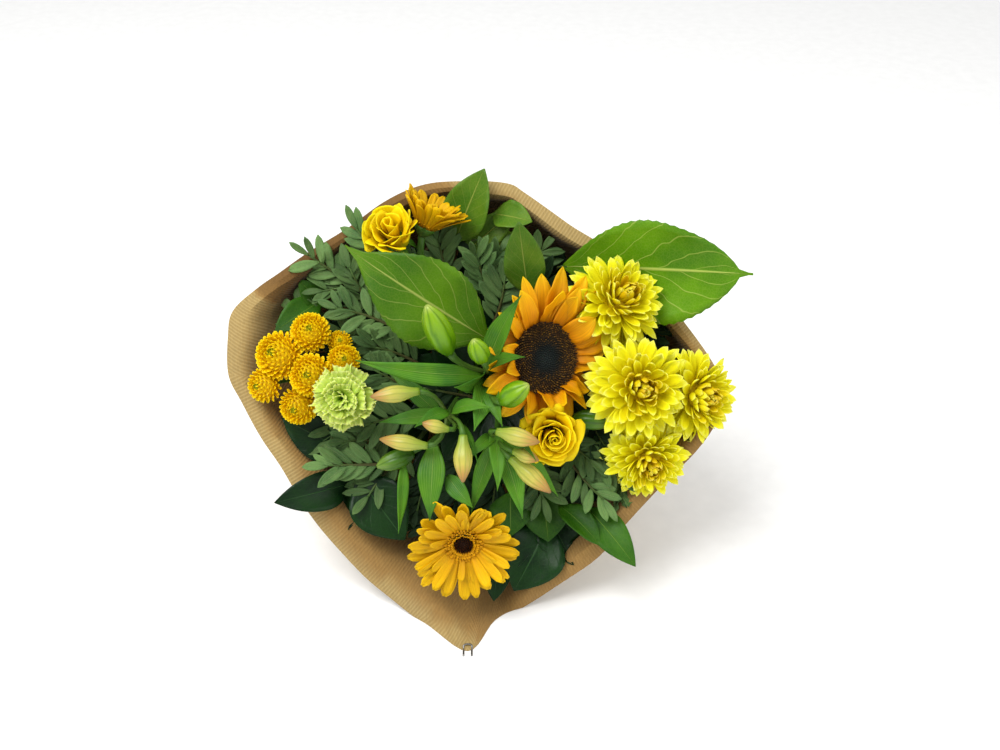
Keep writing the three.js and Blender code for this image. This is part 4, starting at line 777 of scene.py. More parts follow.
# Clockwise from the stapled tip: right, up, out, width of the rolled lip, and flat on the table.
RIM = [
    (-25, -213, -30, 8, 1), (-60, -198, -56, 17, 0), (-87, -179, -64, 17, 0), (-112, -157, -62, 15, 0),
    (-134, -132, -58, 14, 0), (-158, -97, -54, 14, 0), (-173, -73, -51, 11, 0), (-188, -50, -48, 9, 0),
    (-203, -22, -45, 8, 0), (-213, 0, -42, 9, 0), (-213, 30, -40, 10, 0), (-209, 50, -40, 9, 0),
    (-190, 68, -41, 6, 0), (-171, 81, -42, 4, 0), (-147, 98, -44, 4, 0), (-120, 116, -46, 4, 0),
    (-91, 136, -48, 4, 0), (-63, 149, -50, 4, 0), (-36, 153, -50, 4, 0), (4, 151, -50, 6, 0),
    (20, 143, -50, 8, 0), (54, 119, -50, 9, 0), (81, 102, -48, 8, 0), (118, 71, -46, 6, 0),
    (150, 34, -44, 5, 0), (168, 8, -42, 5, 0), (175, -12, -40, 5, 0), (170, -34, -38, 5, 0),
    (151, -60, -34, 5, 0), (121, -92, -36, 6, 0), (96, -121, -42, 7, 0), (79, -142, -48, 8, 0),
    (52, -163, -57, 8, 0), (18, -187, -68, 8, 0), (-4, -196, -58, 6, 1),
]
# How far inside its crest the paper still lies open to the sky, as a share of each line; past that
# the paper gets the brown of painted shade. Below zero, the rim is turned away from it and the
# painted shade reaches over the crest.
SKY_LIT = [-0.02, -0.02, -0.02, -0.02, -0.02, -0.01, 0.0, 0.01, 0.04, 0.11, 0.19, 0.19, -0.05, -0.3,
           -0.3, -0.3, -0.3, -0.2, 0.0, 0.02, 0.02, 0.02, 0.02, 0.0, 0.0, -0.01, -0.03, -0.1, -0.3,
           -0.3, -0.3, -0.3, -0.3, -0.3, -0.2]
# How much darker the paper is painted, as painted shade, where its rim leans away from the light.
IN_SHADE = [0] * 12 + [0.6, 1, 1, 1, 0.9, 0.4] + [0] * 17


def in_bundle(along, place):
    """A point in the tied bundle: along its axis from the tie, right and up."""
    return BINDING + AXIS * along + RIGHT * place[0] + AXIS_UP * place[1]


def wrapper_column(right, up, out, lip, rests):
    """One line of the sheet, from its tail through the neck to its rim."""
    way = np.array([right - RIM_MIDDLE[0], up - RIM_MIDDLE[1]])
    way /= np.linalg.norm(way)
    edge = on_face((right, up, out))
    crest = on_face((right - way[0] * lip, up - way[1] * lip, out + lip * 0.45))
    if rests:
        edge[2] = 0.0
        crest = np.array([edge[0], edge[1] + REST_DEPTH, 0.0])
    neck = in_bundle(26, way * (WRAP_RADIUS + 2))
    outwards = in_bundle(0, way) - BINDING
    wall = [neck + (crest - neck) * share + outwards * 13 * math.sin(math.pi * share)
            for share in (0.42, 0.8)]
    return [in_bundle(-WRAP_TAIL, way * (WRAP_RADIUS + 3)), in_bundle(-8, way * WRAP_RADIUS),
            neck, *wall, crest, edge]


columns = np.array([wrapper_column(*place) for place in RIM])
print("the rim has", len(columns), "places; neck", np.round(columns[0][2], 1))

# %% [markdown]
# Between the chosen places the sheet is filled with smooth curves, first round the rim and then
# along each line. The flat map for the ribs is unrolled at the same time: the distance from the
# neck is a radius, the width between two lines gives the angle, and the sheet is mapped in four
# panels, one for each side of the folded square, because the real ribs change direction there.

# %% Loft the sheet
BETWEEN_COLUMNS = 6
SHEET_RINGS = 56
NECK_TO_APEX = 62.0
PANELS = (0, 9, 18, 26, 35)
MEASURED_RING = 46
CREST = 5
CRUMPLE = 0.9
CRUMPLE_WAVES = 9


def round_curve(values, parts):
    """A smooth closed curve through `values`, with `parts` steps between two of them."""
    before, after = np.roll(values, 1, 0), np.roll(values, -1, 0)
    beyond = np.roll(values, -2, 0)
    filled = []
    for part in range(parts):
        s = part / parts
        filled.append(0.5 * (2 * values + (after - before) * s
                             + (2 * before - 5 * values + 4 * after - beyond) * s**2
                             + (3 * values - before - 3 * after + beyond) * s**3))
    return np.stack(filled, axis=1).reshape(-1, *values.shape[1:])


def crumpled(sheet, seed):
    """Soft dents of a sheet that was handled: a few crossing waves, none at the flat tip."""
    toss = random.Random(seed)
    dent = np.zeros(sheet.shape[:2])
    for _ in range(CRUMPLE_WAVES):
        way = unit([toss.gauss(0, 1) for _ in range(3)])
        dent += np.sin(sheet @ way * toss.uniform(0.05, 0.12) + toss.uniform(0, 6.3))
    return dent * CRUMPLE / 3


dense = round_curve(columns, BETWEEN_COLUMNS)
shares = np.linspace(0, 1, SHEET_RINGS)
sheet = np.stack([smooth_route(line, shares) for line in dense])
forward = np.gradient(sheet, axis=1)
around = np.roll(sheet, -1, 0) - np.roll(sheet, 1, 0)
normal = np.cross(forward, around)
normal /= np.linalg.norm(normal, axis=2)[:, :, None]
# The neck is held tight and the lowest line lies on the table, so neither has dents.
free = np.clip((shares - 0.25) / 0.2, 0, 1) * np.clip((sheet[:, :, 2] - 4) / 20, 0, 1)
sheet = sheet + normal * (crumpled(sheet, 5) * free)[:, :, None]
crest_rings = np.argmin(np.linalg.norm(sheet - dense[:, CREST:CREST + 1], axis=2), axis=1)

run = np.concatenate([np.zeros((len(sheet), 1)),
                      np.cumsum(np.linalg.norm(np.diff(sheet, axis=1), axis=2), axis=1)], axis=1)
neck_run = np.linalg.norm(dense[:, 2] - dense[:, 0], axis=1)[:, None]
radius = run - neck_run + NECK_TO_APEX
widths = np.linalg.norm(np.roll(sheet, -1, 0) - sheet, axis=2)[:, MEASURED_RING]
angles = np.concatenate([[0], np.cumsum(widths / radius[:, MEASURED_RING])])


def flat_place(column, ring, panel):
    """Where a point of the sheet lies on the flat paper, in metres, in its panel."""
    first, last = PANELS[panel] * BETWEEN_COLUMNS, PANELS[panel + 1] * BETWEEN_COLUMNS
    turn = angles[column] - (angles[first] + angles[last]) / 2
    r = radius[column % len(sheet), ring]
    held = max(r, NECK_TO_APEX)
    return held * math.sin(turn) * MM, (held * math.cos(turn) + r - held) * MM


PAINTED_SHADE_FADE = 0.03


def sheet_piece(name):
    """The lofted sheet as a mesh with its flat map."""
    count = len(sheet)
    faces, corners = [], []
    for panel in range(4):
        for column in range(PANELS[panel] * BETWEEN_COLUMNS, PANELS[panel + 1] * BETWEEN_COLUMNS):
            for ring in range(SHEET_RINGS - 1):
                quad = [(column, ring), (column, ring + 1), (column + 1, ring + 1), (column + 1, ring)]
                faces.append([c % count * SHEET_RINGS + r for c, r in quad])
                corners += [flat_place(c, r, panel) for c, r in quad]
    mesh = bpy.data.meshes.new(name)
    mesh.from_pydata((sheet.reshape(-1, 3) * MM).tolist(), [], faces)
    layer = mesh.uv_layers.new(name="UVMap")
    layer.data.foreach_set("uv", np.array(corners).ravel())
    # The attribute `depth` is painted shade, growing inwards from the lit part of the lip, and raised by
    # IN_SHADE.
    depth = mesh.attributes.new("depth", "FLOAT", "POINT")
    lit = crest_rings / (SHEET_RINGS - 1)
    lit = lit - round_curve(np.array(SKY_LIT, float)[:, None], BETWEEN_COLUMNS)[:, 0]
    far = np.clip((lit[:, None] - shares[None]) / PAINTED_SHADE_FADE + 0.5, 0, 1)
    far = far + round_curve(np.array(IN_SHADE, float)[:, None], BETWEEN_COLUMNS) * far
    depth.data.foreach_set("value", far.ravel().astype(np.float32))
    obj = bpy.data.objects.new(name, mesh)
    bpy.context.scene.collection.objects.link(obj)
    return obj


WALL = 0.6
TABLE_GAP = 0.3
wrapper = sheet_piece("kraft_wrapper")
outer_count = len(wrapper.data.vertices)
finished(wrapper, KRAFT, ["wrapper"], thickness=WALL, smooth=40.0)
# Only the inner side of the sheet keeps the painted shade.
depth = wrapper.data.attributes["depth"]
values = np.zeros(len(depth.data), np.float32)
depth.data.foreach_get("value", values)
values[:outer_count] = 0.0  # the outside is in the open, so it stays tan
depth.data.foreach_set("value", values)
for index, vertex in enumerate(wrapper.data.vertices):
    vertex.co.z = max(vertex.co.z, (TABLE_GAP + WALL * (index >= outer_count)) * MM)
print("wrapper:", len(wrapper.data.polygons), "faces")

# %% [markdown]
# In a real bunch the paper holds leaves and petals in, or they lie over its rim. Physics would be
# slow for thousands of blades, so each point of a blade looks for the nearest place on the paper
# instead. A k-d tree finds it fast. If the point is outside, it moves back in, or up over the lip.

# %% Keep leaves and petals inside the paper
paper_places = sheet.reshape(-1, 3)
paper_centres = np.tile(sheet.mean(axis=0), (len(sheet), 1))
paper_tree = KDTree(len(paper_places))
for index, place in enumerate(paper_places):
    paper_tree.insert(place, index)
paper_tree.balance()
LIFT_MOST = 14.0


def kept_inside(points, margin=2.5, over_rim=False):
    """Moves points off the paper: back inside it or, with `over_rim`, up over its lip."""
    kept, mouth = points.copy(), unit(faceward((0, 0, 1)))
    for index, point in enumerate(points):
        near = paper_tree.find(point)[1]
        row, crest = near // SHEET_RINGS, crest_rings[near // SHEET_RINGS]
        inwards = unit(paper_centres[near] - paper_places[near])
        outside = max(margin - (point - paper_places[near]) @ inwards, 0.0)
        if over_rim and near % SHEET_RINGS >= crest - 1:
            below = margin - (point - sheet[row, crest]) @ mouth
            kept[index] += mouth * (below if outside and 0 < below < LIFT_MOST else 0.0)
        else:
            kept[index] += inwards * outside
    return kept


print("places on the paper:", len(paper_places))

# %% [markdown]
# All stems run through one tie. As in the part, they start from a shrunken picture of the face
# and push each other apart until none touch, so that they fan out without crossing; from the tie
# each follows one smooth curve to its flower, and below it they turn round each other a little.

# %% The bundle of stems
STEM_BELOW_TIE = 192.6
STEM_SPREAD = 1.22
STEM_TWIST = math.radians(24)
STEM_GAP = 0.6
FACE_TO_TIE = 0.11
PACKING_TURNS, PULLING_TURNS, PULL = 900, 700, 0.995
# The radius of each stem, and where it is seen on the face: right and up.
STEMS = {
    "sunflower": (4.6, 34, 13), "gerbera_front": (2.6, -28, -125), "gerbera_back": (2.6, -60, 118),
    "rose_top": (2.8, -84, 106), "rose_middle": (2.8, 38, -44), "mum_upper": (2.8, 98, 40),
    "mum_lower": (2.8, 135, -40), "button": (2.3, -155, 6), "carnation": (2.2, -112, -18),
    "lily_middle": (3.4, -14, 2), "lily_left": (1.7, -66, -58), "lily_right": (1.7, 62, -28),
    "alstroemeria_left": (2.6, -40, -34), "alstroemeria_right": (2.6, 0, -52),
    "pistache_rim": (1.7, -135, 84), "pistache_upper": (1.7, -100, 92),
    "pistache_inner": (1.7, -104, 44), "pistache_top": (1.7, -14, 80),
    "pistache_left": (1.7, -105, -66), "pistache_right": (1.7, 54, -66),
    "leaf_big_left": (1.9, -30, 34), "leaf_big_right": (1.9, 52, 92), "leaf_spotted": (1.9, 14, 72),
    "shallon_top": (1.9, -10, 128), "shallon_corner": (1.9, -150, 60),
    "shallon_left": (1.9, -125, -84), "shallon_bottom": (1.9, 8, -130),
    "shallon_right": (1.9, 60, -112),
}


def packed_bundle():
    """Pushes the stems apart in the tie, pair by pair, while a slight pull keeps them close."""
    names = list(STEMS)
    places = [[STEMS[name][1] * FACE_TO_TIE, STEMS[name][2] * FACE_TO_TIE] for name in names]
    for turn in range(PACKING_TURNS):
        pull = PULL if turn < PULLING_TURNS else 1.0
        for place in places:
            place[0] *= pull
            place[1] *= pull
        for one in range(len(names)):
            for two in range(one + 1, len(names)):
                dx, dy = places[two][0] - places[one][0], places[two][1] - places[one][1]
                far = math.hypot(dx, dy)
                short = STEMS[names[one]][0] + STEMS[names[two]][0] + STEM_GAP - far
                if short > 0:
                    push = short / 2 / far
                    places[one][0] -= dx * push
                    places[one][1] -= dy * push
                    places[two][0] += dx * push
                    places[two][1] += dy * push
    return dict(zip(names, places))


BUNDLE = packed_bundle()
BUNDLE_RADIUS = max(math.hypot(*place) + STEMS[name][0] for name, place in BUNDLE.items())


def stem_route(name, base, aim, bend=45.0):
    """A stem's route from its cut end through the tie to `base`, where it points along `aim`."""
    place = BUNDLE[name]
    cos, sin = math.cos(STEM_TWIST), math.sin(STEM_TWIST)
    cut = (np.array([place[0] * cos - place[1] * sin, place[0] * sin + place[1] * cos])
           * STEM_SPREAD)
    start = in_bundle(TIE_HALF, place)
    hold, guide = start + AXIS * 70, base - unit(aim) * bend
    fan = [start * (1 - s)**3 + hold * 3 * s * (1 - s)**2 + guide * 3 * s**2 * (1 - s) + base * s**3
           for s in np.linspace(0, 1, 9)]
    return [in_bundle(-STEM_BELOW_TIE, cut), in_bundle(-TIE_HALF, place), *fan]


def grow_stem(growth, name, base, aim, bend=45.0, top=0.8):
    """Adds a whole stem, a little thinner at its top."""
    radius = STEMS[name][0]
    growth.grow(ROD, along_route(ROD, stem_route(name, base, aim, bend),
                                 [radius, radius, radius * 0.95, radius * 0.9, radius * top]))


def grow_twig(growth, start, base, aim, radii, bend=22.0):
    """Adds a side shoot that reaches `base` pointing along `aim`."""
    guide = base - unit(aim) * bend
    route = [start * (1 - s)**2 + guide * 2 * s * (1 - s) + base * s**2
             for s in np.linspace(0, 1, 6)]
    growth.grow(TWIG, along_route(TWIG, route, radii))


print("the tied bundle is", round(2 * BUNDLE_RADIUS, 1), "mm across")

# %% [markdown]
# The blooms stand where the part has them. Each has a middle, a way that it looks and a radius,
# all on the face. Where two press against each other, a plane between them shortens the petals,
# as the crowd of a real bunch does.

# %% Where the blooms are
HEADS = {
    "sunflower": ((33.5, 12.5, -4), (0.5, -0.05, 0.86), 50),
    "gerbera_front": ((-28, -130, -24), (0.02, -0.45, 0.89), 40),
    "gerbera_back": ((-57, 117, -32), (0.42, 0.86, 0.3), 24),
    "rose_top": ((-84, 113, -12), (-0.16, 0.42, 0.89), 22),
    "rose_middle": ((40, -47, 0), (0.08, -0.2, 0.97), 22),
    "mum_a": ((91, 57, -14), (0.3, 0.35, 0.89), 35),
    "mum_b": ((105, -10, 6), (0.1, -0.05, 0.99), 36),
    "mum_c": ((151, -16, -17), (0.55, -0.1, 0.83), 33),
    "mum_d": ((113, -65, -17), (0.15, -0.45, 0.88), 30),
    "button_1": ((-146, 34, -22), (0.05, 0.25, 0.96), 14.5),
    "button_2": ((-171, 16, -18), (-0.3, 0.15, 0.94), 17.5),
    "button_3": ((-184, -8, -28), (-0.5, -0.1, 0.86), 13),
    "button_4": ((-145, 0, -12), (-0.1, 0, 0.99), 15.5),
    "button_5": ((-120, 12, -24), (0.15, 0.1, 0.98), 12),
    "button_6": ((-157, -25, -28), (-0.2, -0.3, 0.93), 14),
    "button_7": ((-124, 26, -32), (0.1, 0.2, 0.97), 9),
    "carnation": ((-118, -17, 4), (-0.15, -0.05, 0.99), 24),
}


def reach_of(name, matrix):
    """How far a petal may reach in a direction of the bloom before it meets a neighbour."""
    at, _, size = HEADS[name]
    kind = name.split("_")[0]
    planes = []
    for other, (place, _, far_size) in HEADS.items():
        if other != name and other.split("_")[0] == kind:
            way = on_face(place) - on_face(at)
            far = np.linalg.norm(way)
            planes.append((way / far, far * size / (size + far_size) - 0.6))

    def reach(direction):
        world = matrix[:3, :3] @ direction
        limits = [depth / (world @ way) for way, depth in planes if world @ way > 0.05]
        return min(limits, default=1000.0)
    return reach


def spanned(pattern, start, end, width, facing, curl=0.0, hook=0.0, sway=0.0, **shape):
    """A blade between two points of the part's frame; `between` is the same on the face."""
    shift = np.linalg.inv(basis(RIGHT, UP_FACE, OUT_FACE, FACE_MIDDLE))
    base, tip = moved(np.array([start, end]), shift)
    look = shift[:3, :3] @ np.asarray(facing, float)
    return between(pattern, base, tip, width, look, curl, hook, sway, **shape)


print(len(HEADS), "blooms")

# %% [markdown]
# The sunflower looks to the right, so its rays foreshorten there and crowd on the left, and some
# have begun to curl. Each ray is laid from the rim of the disc to the place where its tip is
# seen: right, up, out, width, curl and twist. The short ones fill up between by a rule.

# %% Sunflower rays
SUNFLOWER_DISC = 27
RAY_FOOT = 24
SHORT_RAYS = 22
RAYS = [
    (17, 73, 12, 11, -20, 15), (9, 59, 14, 12, -35, -20), (15, 62, 22, 14, -45, 10),
    (47, 81, 4, 17, -25, -12), (65, 75, -7, 16, -30, 15), (76, 65, -12, 16, -30, -10),
    (85, 53, -16, 15, -30, 20), (47, 62, 14, 18, 30, -25), (72, 43, 0, 18, -55, 10),
    (87, 29, -17, 16, -25, -15), (80, 17, -20, 14, -35, 25), (70, 4, -12, 14, 60, 70),
    (68, -12, -14, 13, 70, -80), (66, -26, -16, 10, -50, 40), (38, -26, 10, 13, -40, 30),
    (50, -21, 2, 13, 55, -60), (20, -30, 14, 13, -40, 40), (1, -31, 13, 14, -45, -25),
    (-10, -13, 18, 14, -50, 20), (5, 2, 22, 11, -60, -30), (2, 20, 20, 11, -55, 20),
    (6, 42, 18, 12, -45, -15), (31, 76, 2, 14, -20, 20), (58, 58, 6, 15, 25, 30),
    (78, 34, -8, 14, -45, -25), (60, 66, 0, 14, -40, 5), (62, -17, -6, 12, -60, 50),
]
at, aim, _ = HEADS["sunflower"]
sunflower_frame = bloom_frame(at, aim)
look = faceward(aim)
toss = random.Random(11)
rays = Growth()
for right, up, out, width, curl, twist in RAYS:
    tip_place = on_face((right, up, out))
    local = moved(tip_place[None], np.linalg.inv(sunflower_frame))[0]
    root = moved(np.array([[*(unit(local[:2]) * RAY_FOOT), -2.5]]), sunflower_frame)[0]
    rays.grow(RAY, spanned(RAY, root, tip_place, width * 1.12, look, curl=curl, twist=twist,
                           cup=toss.uniform(15, 45), wave=toss.uniform(0.03, 0.12),
                           phase=toss.uniform(0, 6)), toss.random())
for index in range(SHORT_RAYS):
    ray = swept(RAY, toss.uniform(22, 31), toss.uniform(10, 13), lift=toss.uniform(0, 14),
                curl=toss.uniform(-45, 10), cup=30, twist=toss.uniform(-30, 30), wave=0.08)
    rays.grow(RAY, moved(ringed(ray, index * 360 / SHORT_RAYS, RAY_FOOT, -4), sunflower_frame),
              toss.uniform(0, 0.6))
rays.piece("sunflower_rays", SUNFLOWER_RAY, "sunflower_petal", ["sunflower_petals"], 0.5)
print("sunflower rays:", len(RAYS) + SHORT_RAYS)

# %% [markdown]
# The florets of the disc stand in the golden spiral: each is turned on by the same angle, and its
# distance grows with the root of its number, so they are spread evenly. One closed cone is modelled
# and copied. Those in the middle are still shut and low, and those at the rim are tall and lean out.


# %% Sunflower disc
def model_floret(sides, height, waist):
    """A tiny closed floret: a cone drawn in to a blunt tip."""
    bpy.ops.object.select_all(action="DESELECT")
    bpy.ops.mesh.primitive_cone_add(vertices=sides, radius1=1, radius2=waist, depth=height,
                                    location=(0, 0, height / 2))
    floret = bpy.context.object
    bpy.ops.object.transform_apply(location=True)
    pattern = taken(floret)
    tall = np.array([pattern.points[corner][2] / height for face in pattern.faces for corner in face])
    return Pattern(pattern.points, pattern.faces, np.stack([tall * 0, tall], axis=1))


DISC_CONE = model_floret(5, 1.0, 0.35)
GOLDEN_ANGLE = 137.508
FLORETS = 800
disc = Growth()
disc_radii = [SUNFLOWER_DISC - 0.5] * 2 + [SUNFLOWER_DISC * 0.8, SUNFLOWER_DISC * 0.4, 1.0]
disc.grow(TWIG, cushion(sunflower_frame, (-1.2, 0.2, 1.0, 1.7, 1.8), disc_radii), 0.3)
for index in range(FLORETS):
    share = math.sqrt((index + 0.5) / FLORETS)
    turn = math.radians(index * GOLDEN_ANGLE)
    out = SUNFLOWER_DISC * share
    rise = 3.4 - 3.0 * share**3 - 1.3 * (1 - share)**2
    wide = 0.78 + 0.35 * share
    tall = 1.0 + 2.6 * share**2 * (1.2 - 0.3 * toss.random())
    lean = 0.35 * (share - 0.3)
    points = DISC_CONE.points * np.array([wide, wide, tall])
    points[:, 0] += points[:, 2] * lean
    points = moved(points + np.array([out, 0, rise]), spun(turn))
    disc.grow(DISC_CONE, moved(points, sunflower_frame), share)
disc.piece("sunflower_disc_florets", DISC_FLORET, "sunflower_disc", ["sunflower_disc"], 0, 30)
print("disc florets:", FLORETS)

# %% [markdown]
# Behind the disc a sunflower's stem swells to a bowl, and narrow green bracts hang over the backs of
# the rays in two rows. The camera hardly sees them; they are there for when the bunch is turned.

# %% Sunflower stem and bracts
BRACTS = 30
stem = Growth()
back = moved(np.array([[0, 0, -14.0]]), sunflower_frame)[0]
grow_stem(stem, "sunflower", back, look, 70, top=1.15)
bowl = [moved(np.array([[0, 0, z]]), sunflower_frame)[0] for z in (-15, -12, -9, -6, -3.5)]
stem.grow(TWIG, along_route(TWIG, bowl, [5.5, 10, 19, 26, 27.5]))
stem.piece("sunflower_stalk", STEM_GREEN, "stem_green", ["sunflower_stem"])
bracts = Growth()
for index in range(BRACTS):
    bract = swept(LANCE, toss.uniform(22, 30), 9, lift=toss.uniform(-12, 6), curl=-50, cup=20)
    bracts.grow(LANCE, moved(ringed(bract, index * 360 / BRACTS, 18, -10 + index % 2 * 2),
                             sunflower_frame), toss.random())
bracts.piece("sunflower_bracts", LILY_LEAF, "stem_green", [], 0.5)
print("sunflower stem and bracts")

# %% [markdown]
# A gerbera has two full rows of long straps with blunt, notched tips, a third row of short ones,
# a fringe of tiny florets round its eye, and a dark eye. The front one looks down a little, so
# its upper petals look short. The back one is seen from its side.


# %% Gerberas
GERBERA_EYE = 7.2
EYE_FLORETS = 110
CALYX_SCALES = 36


def gerbera(name, outer, inner, lifts, seed, size=1.0, tufts=150, fringe_out=13.0):
    """One gerbera: rows of petals, a fringe of `tufts` from `fringe_out` in, eye, calyx and stem."""
    at, aim, _ = HEADS[name]
    matrix = bloom_frame(at, aim)
    look = matrix[:3, 2].copy()
    matrix[:3, :3] *= size
    toss = random.Random(seed)
    petals = Growth()
    rows = [(outer, 35.5, 9.6, lifts[0], 10.0, -2.6), (inner, 32, 9.0, lifts[1], 10.0, -1.6),
            (inner // 3, 21, 6.4, lifts[1] + 10, 11.5, -0.8)]
    for count, length, width, lift, foot, height in rows:
        for index in range(count):
            petal = swept(STRAP, length * toss.uniform(0.9, 1.06), width * toss.uniform(0.85, 1.1),
                          lift=lift + toss.uniform(-6, 6), curl=toss.uniform(-32, -8),
                          hook=toss.uniform(-10, 25), cup=toss.uniform(10, 40),
                          twist=toss.uniform(-14, 14), sway=toss.uniform(-0.06, 0.06))
            turn = (index + toss.uniform(-0.25, 0.25)) * 360 / count
            petals.grow(STRAP, moved(ringed(petal, turn, foot, height), matrix), toss.random())
    petals.piece(f"{name}_rays", GERBERA_RAY, "gerbera_petal", [f"{name}_petals"], 0.45)
    fringe = Growth()
    for index in range(tufts):
        ring = index % 4
        petal = swept(QUILL, 5.6 - ring * 0.5, 2.2, lift=48 + ring * 10 + toss.uniform(-14, 14),
                      curl=-60, cup=60, twist=toss.uniform(-30, 30))
        out = fringe_out - ring * 1.9
        fringe.grow(QUILL, moved(ringed(petal, index * GOLDEN_ANGLE, out, 0.2), matrix), toss.random())
    fringe.piece(f"{name}_fringe", GERBERA_FLORET, "gerbera_petal", [], 0.3)
    eye = Growth()
    eye.grow(TWIG, cushion(matrix, (-1.5, 0, 1.2, 2.2), [GERBERA_EYE, 7.0, 5.0, 1.0]), 0.2)
    for index in range(EYE_FLORETS):
        share = math.sqrt((index + 0.5) / EYE_FLORETS)
        turn = math.radians(index * GOLDEN_ANGLE)
        points = DISC_CONE.points * np.array([0.55, 0.55, 1.2 + 2.2 * share**3])
        out = GERBERA_EYE * share
        shift = np.array([out * math.cos(turn), out * math.sin(turn), 2.2 - 1.9 * share**2])
        eye.grow(DISC_CONE, moved(points + shift, matrix), share)
    eye.piece(f"{name}_centre", EYE_FLORET, "gerbera_eye", [f"{name}_eye"], 0, 30)
    stalk = Growth()
    grow_stem(stalk, name, on_face(at) - look * 11 * size, look, 40, top=1.0)
    cup = [on_face(at) - look * z * size for z in (13, 10, 7, 4.5, 3)]
    stalk.grow(TWIG, along_route(TWIG, cup, [r * size for r in (3.2, 6.0, 8.5, 10.0, 10.5)]))
    stalk.piece(f"{name}_stalk", STEM_GREEN, "stem_green", [f"{name}_stem"])
    scales = Growth()
    for index in range(CALYX_SCALES):
        scale, row = swept(SCALE, 9, 3.2, lift=38, curl=20, cup=30), index % 3
        scales.grow(SCALE, moved(ringed(scale, index * GOLDEN_ANGLE, 4 + row, -12 + row * 2), matrix),
                    toss.random())
    scales.piece(f"{name}_calyx", LILY_LEAF, "stem_green", [], 0.4)


gerbera("gerbera_front", 24, 20, (27, 37), 21)
gerbera("gerbera_back", 24, 18, (56, 68), 22, 0.8, 60, 10.0)
print("two gerberas")

# %% [markdown]
# A rose opens as a spiral. Its heart is rolled tight, the next petals lean out from it, and the
# outer ones fall open with their sides rolled back, which gives each a point in the middle of its
# lip. Every petal is the same wide blade, wrapped round the axis of the flower.


# %% Roses
def wrapped(pattern, turn, span, near, far, height, roll, drift=0.0):
    """A wide blade wrapped round +Z: radius grows from `near` to `far`, sides roll out by `roll`."""
    across, t = pattern.points[:, 0] * 2, pattern.points[:, 1]
    angle = math.radians(turn) + math.radians(span) / 2 * across
    lip = np.clip((t - 0.62) / 0.38, 0, 1)
    out = near + (far - near) * np.sin(np.pi / 2 * t) + drift * across
    curl = roll * lip**1.5 * (0.35 + 0.65 * np.abs(across))
    out = out + curl
    level = height * t * (1 - 0.14 * across**2) - curl * 0.62 * lip
    return np.stack([out * np.cos(angle), out * np.sin(angle), level], axis=1)


ROSE_HEIGHT = 34


def rose(name, layers, guards, seed, loose):
    """One rose: a spiral of petals, as ragged as `loose` says, guard petals, sepals, hip and stem."""
    at, aim, _ = HEADS[name]
    matrix = bloom_frame(at, aim, ROSE_HEIGHT * 0.62)
    toss = random.Random(seed)
    petals, turn = Growth(), 0.0
    for count, near, far, height, roll, span in layers:
        for _ in range(count):
            turn += GOLDEN_ANGLE + toss.uniform(-20, 20) * loose
            shape = wrapped(WRAP_PETAL, turn, span, near, far * toss.uniform(0.95, 1.06),
                            height * toss.uniform(0.96 - 0.16 * loose, 1.04),
                            roll * toss.uniform(0.7 - 0.4 * loose, 1.3 + 0.5 * loose),
                            1.2 + toss.uniform(-2.5, 2.5) * loose)
            petals.grow(WRAP_PETAL, moved(shape, matrix), toss.random())
    petals.piece(f"{name}_spiral", ROSE_PETAL, "rose_petal", [f"{name}_petals"], 0.45)
    if guards:
        outer = Growth()
        for index in range(guards):
            shape = wrapped(WRAP_PETAL, index * 360 / guards + toss.uniform(-12, 12), 74, 9.5,
                            toss.uniform(14, 20), toss.uniform(24, 30), toss.uniform(2, 6), 2.0)
            outer.grow(WRAP_PETAL, moved(shape, matrix), toss.random())
        outer.piece(f"{name}_guards", ROSE_GUARD, "rose_petal", [], 0.45)
    look = matrix[:3, 2]
    foot = matrix[:3, 3]
    stalk = Growth()
    grow_stem(stalk, name, foot - look * 8, look, 55)
    hip = [foot - look * z for z in (10, 7, 4, 1, -2)]
    stalk.grow(TWIG, along_route(TWIG, hip, [2.6, 4.6, 6.0, 6.4, 8.0]))
    stalk.piece(f"{name}_stalk", STEM_GREEN, "stem_green", [f"{name}_stem"])
    sepals = Growth()
    for index in range(5):
        sepal = swept(LANCE, 21, 7, lift=-30 + toss.uniform(-10, 25), curl=-50, cup=40,
                      twist=toss.uniform(-30, 30))
        sepals.grow(LANCE, moved(ringed(sepal, index * 72, 4, -2), matrix), toss.random())
    sepals.piece(f"{name}_sepals", LILY_LEAF, "stem_green", [], 0.5)


# Each layer: how many petals, their radius at foot and lip, height, roll of the lip, span in degrees.
rose("rose_middle", [(3, 1.4, 1.5, 32.5, 0.6, 230), (3, 2.8, 3.2, 32, 1.2, 200),
                     (4, 4.4, 6.0, 31, 2.4, 150), (4, 6.4, 10.0, 29, 4.5, 125),
                     (4, 8.0, 13.5, 27, 6.5, 110), (5, 9.0, 17.0, 24, 8.0, 100)], 0, 31, 0.35)
rose("rose_top", [(3, 2.4, 3.0, 33, 1.6, 190), (4, 4.6, 7.0, 31, 3.0, 120),
                  (5, 7.0, 11.0, 28, 5.0, 90), (5, 8.5, 15.0, 24, 7.0, 74)], 7, 32, 1.0)
print("two roses")

# %% [markdown]
# A spray chrysanthemum is a ball of cupped straps on a small heart. They stand in the spiral
# order of all such heads: short, upright and curling inwards at the top, long and spread at the
# rim. A button chrysanthemum is the same flower with a hundred tight quills round a green eye.


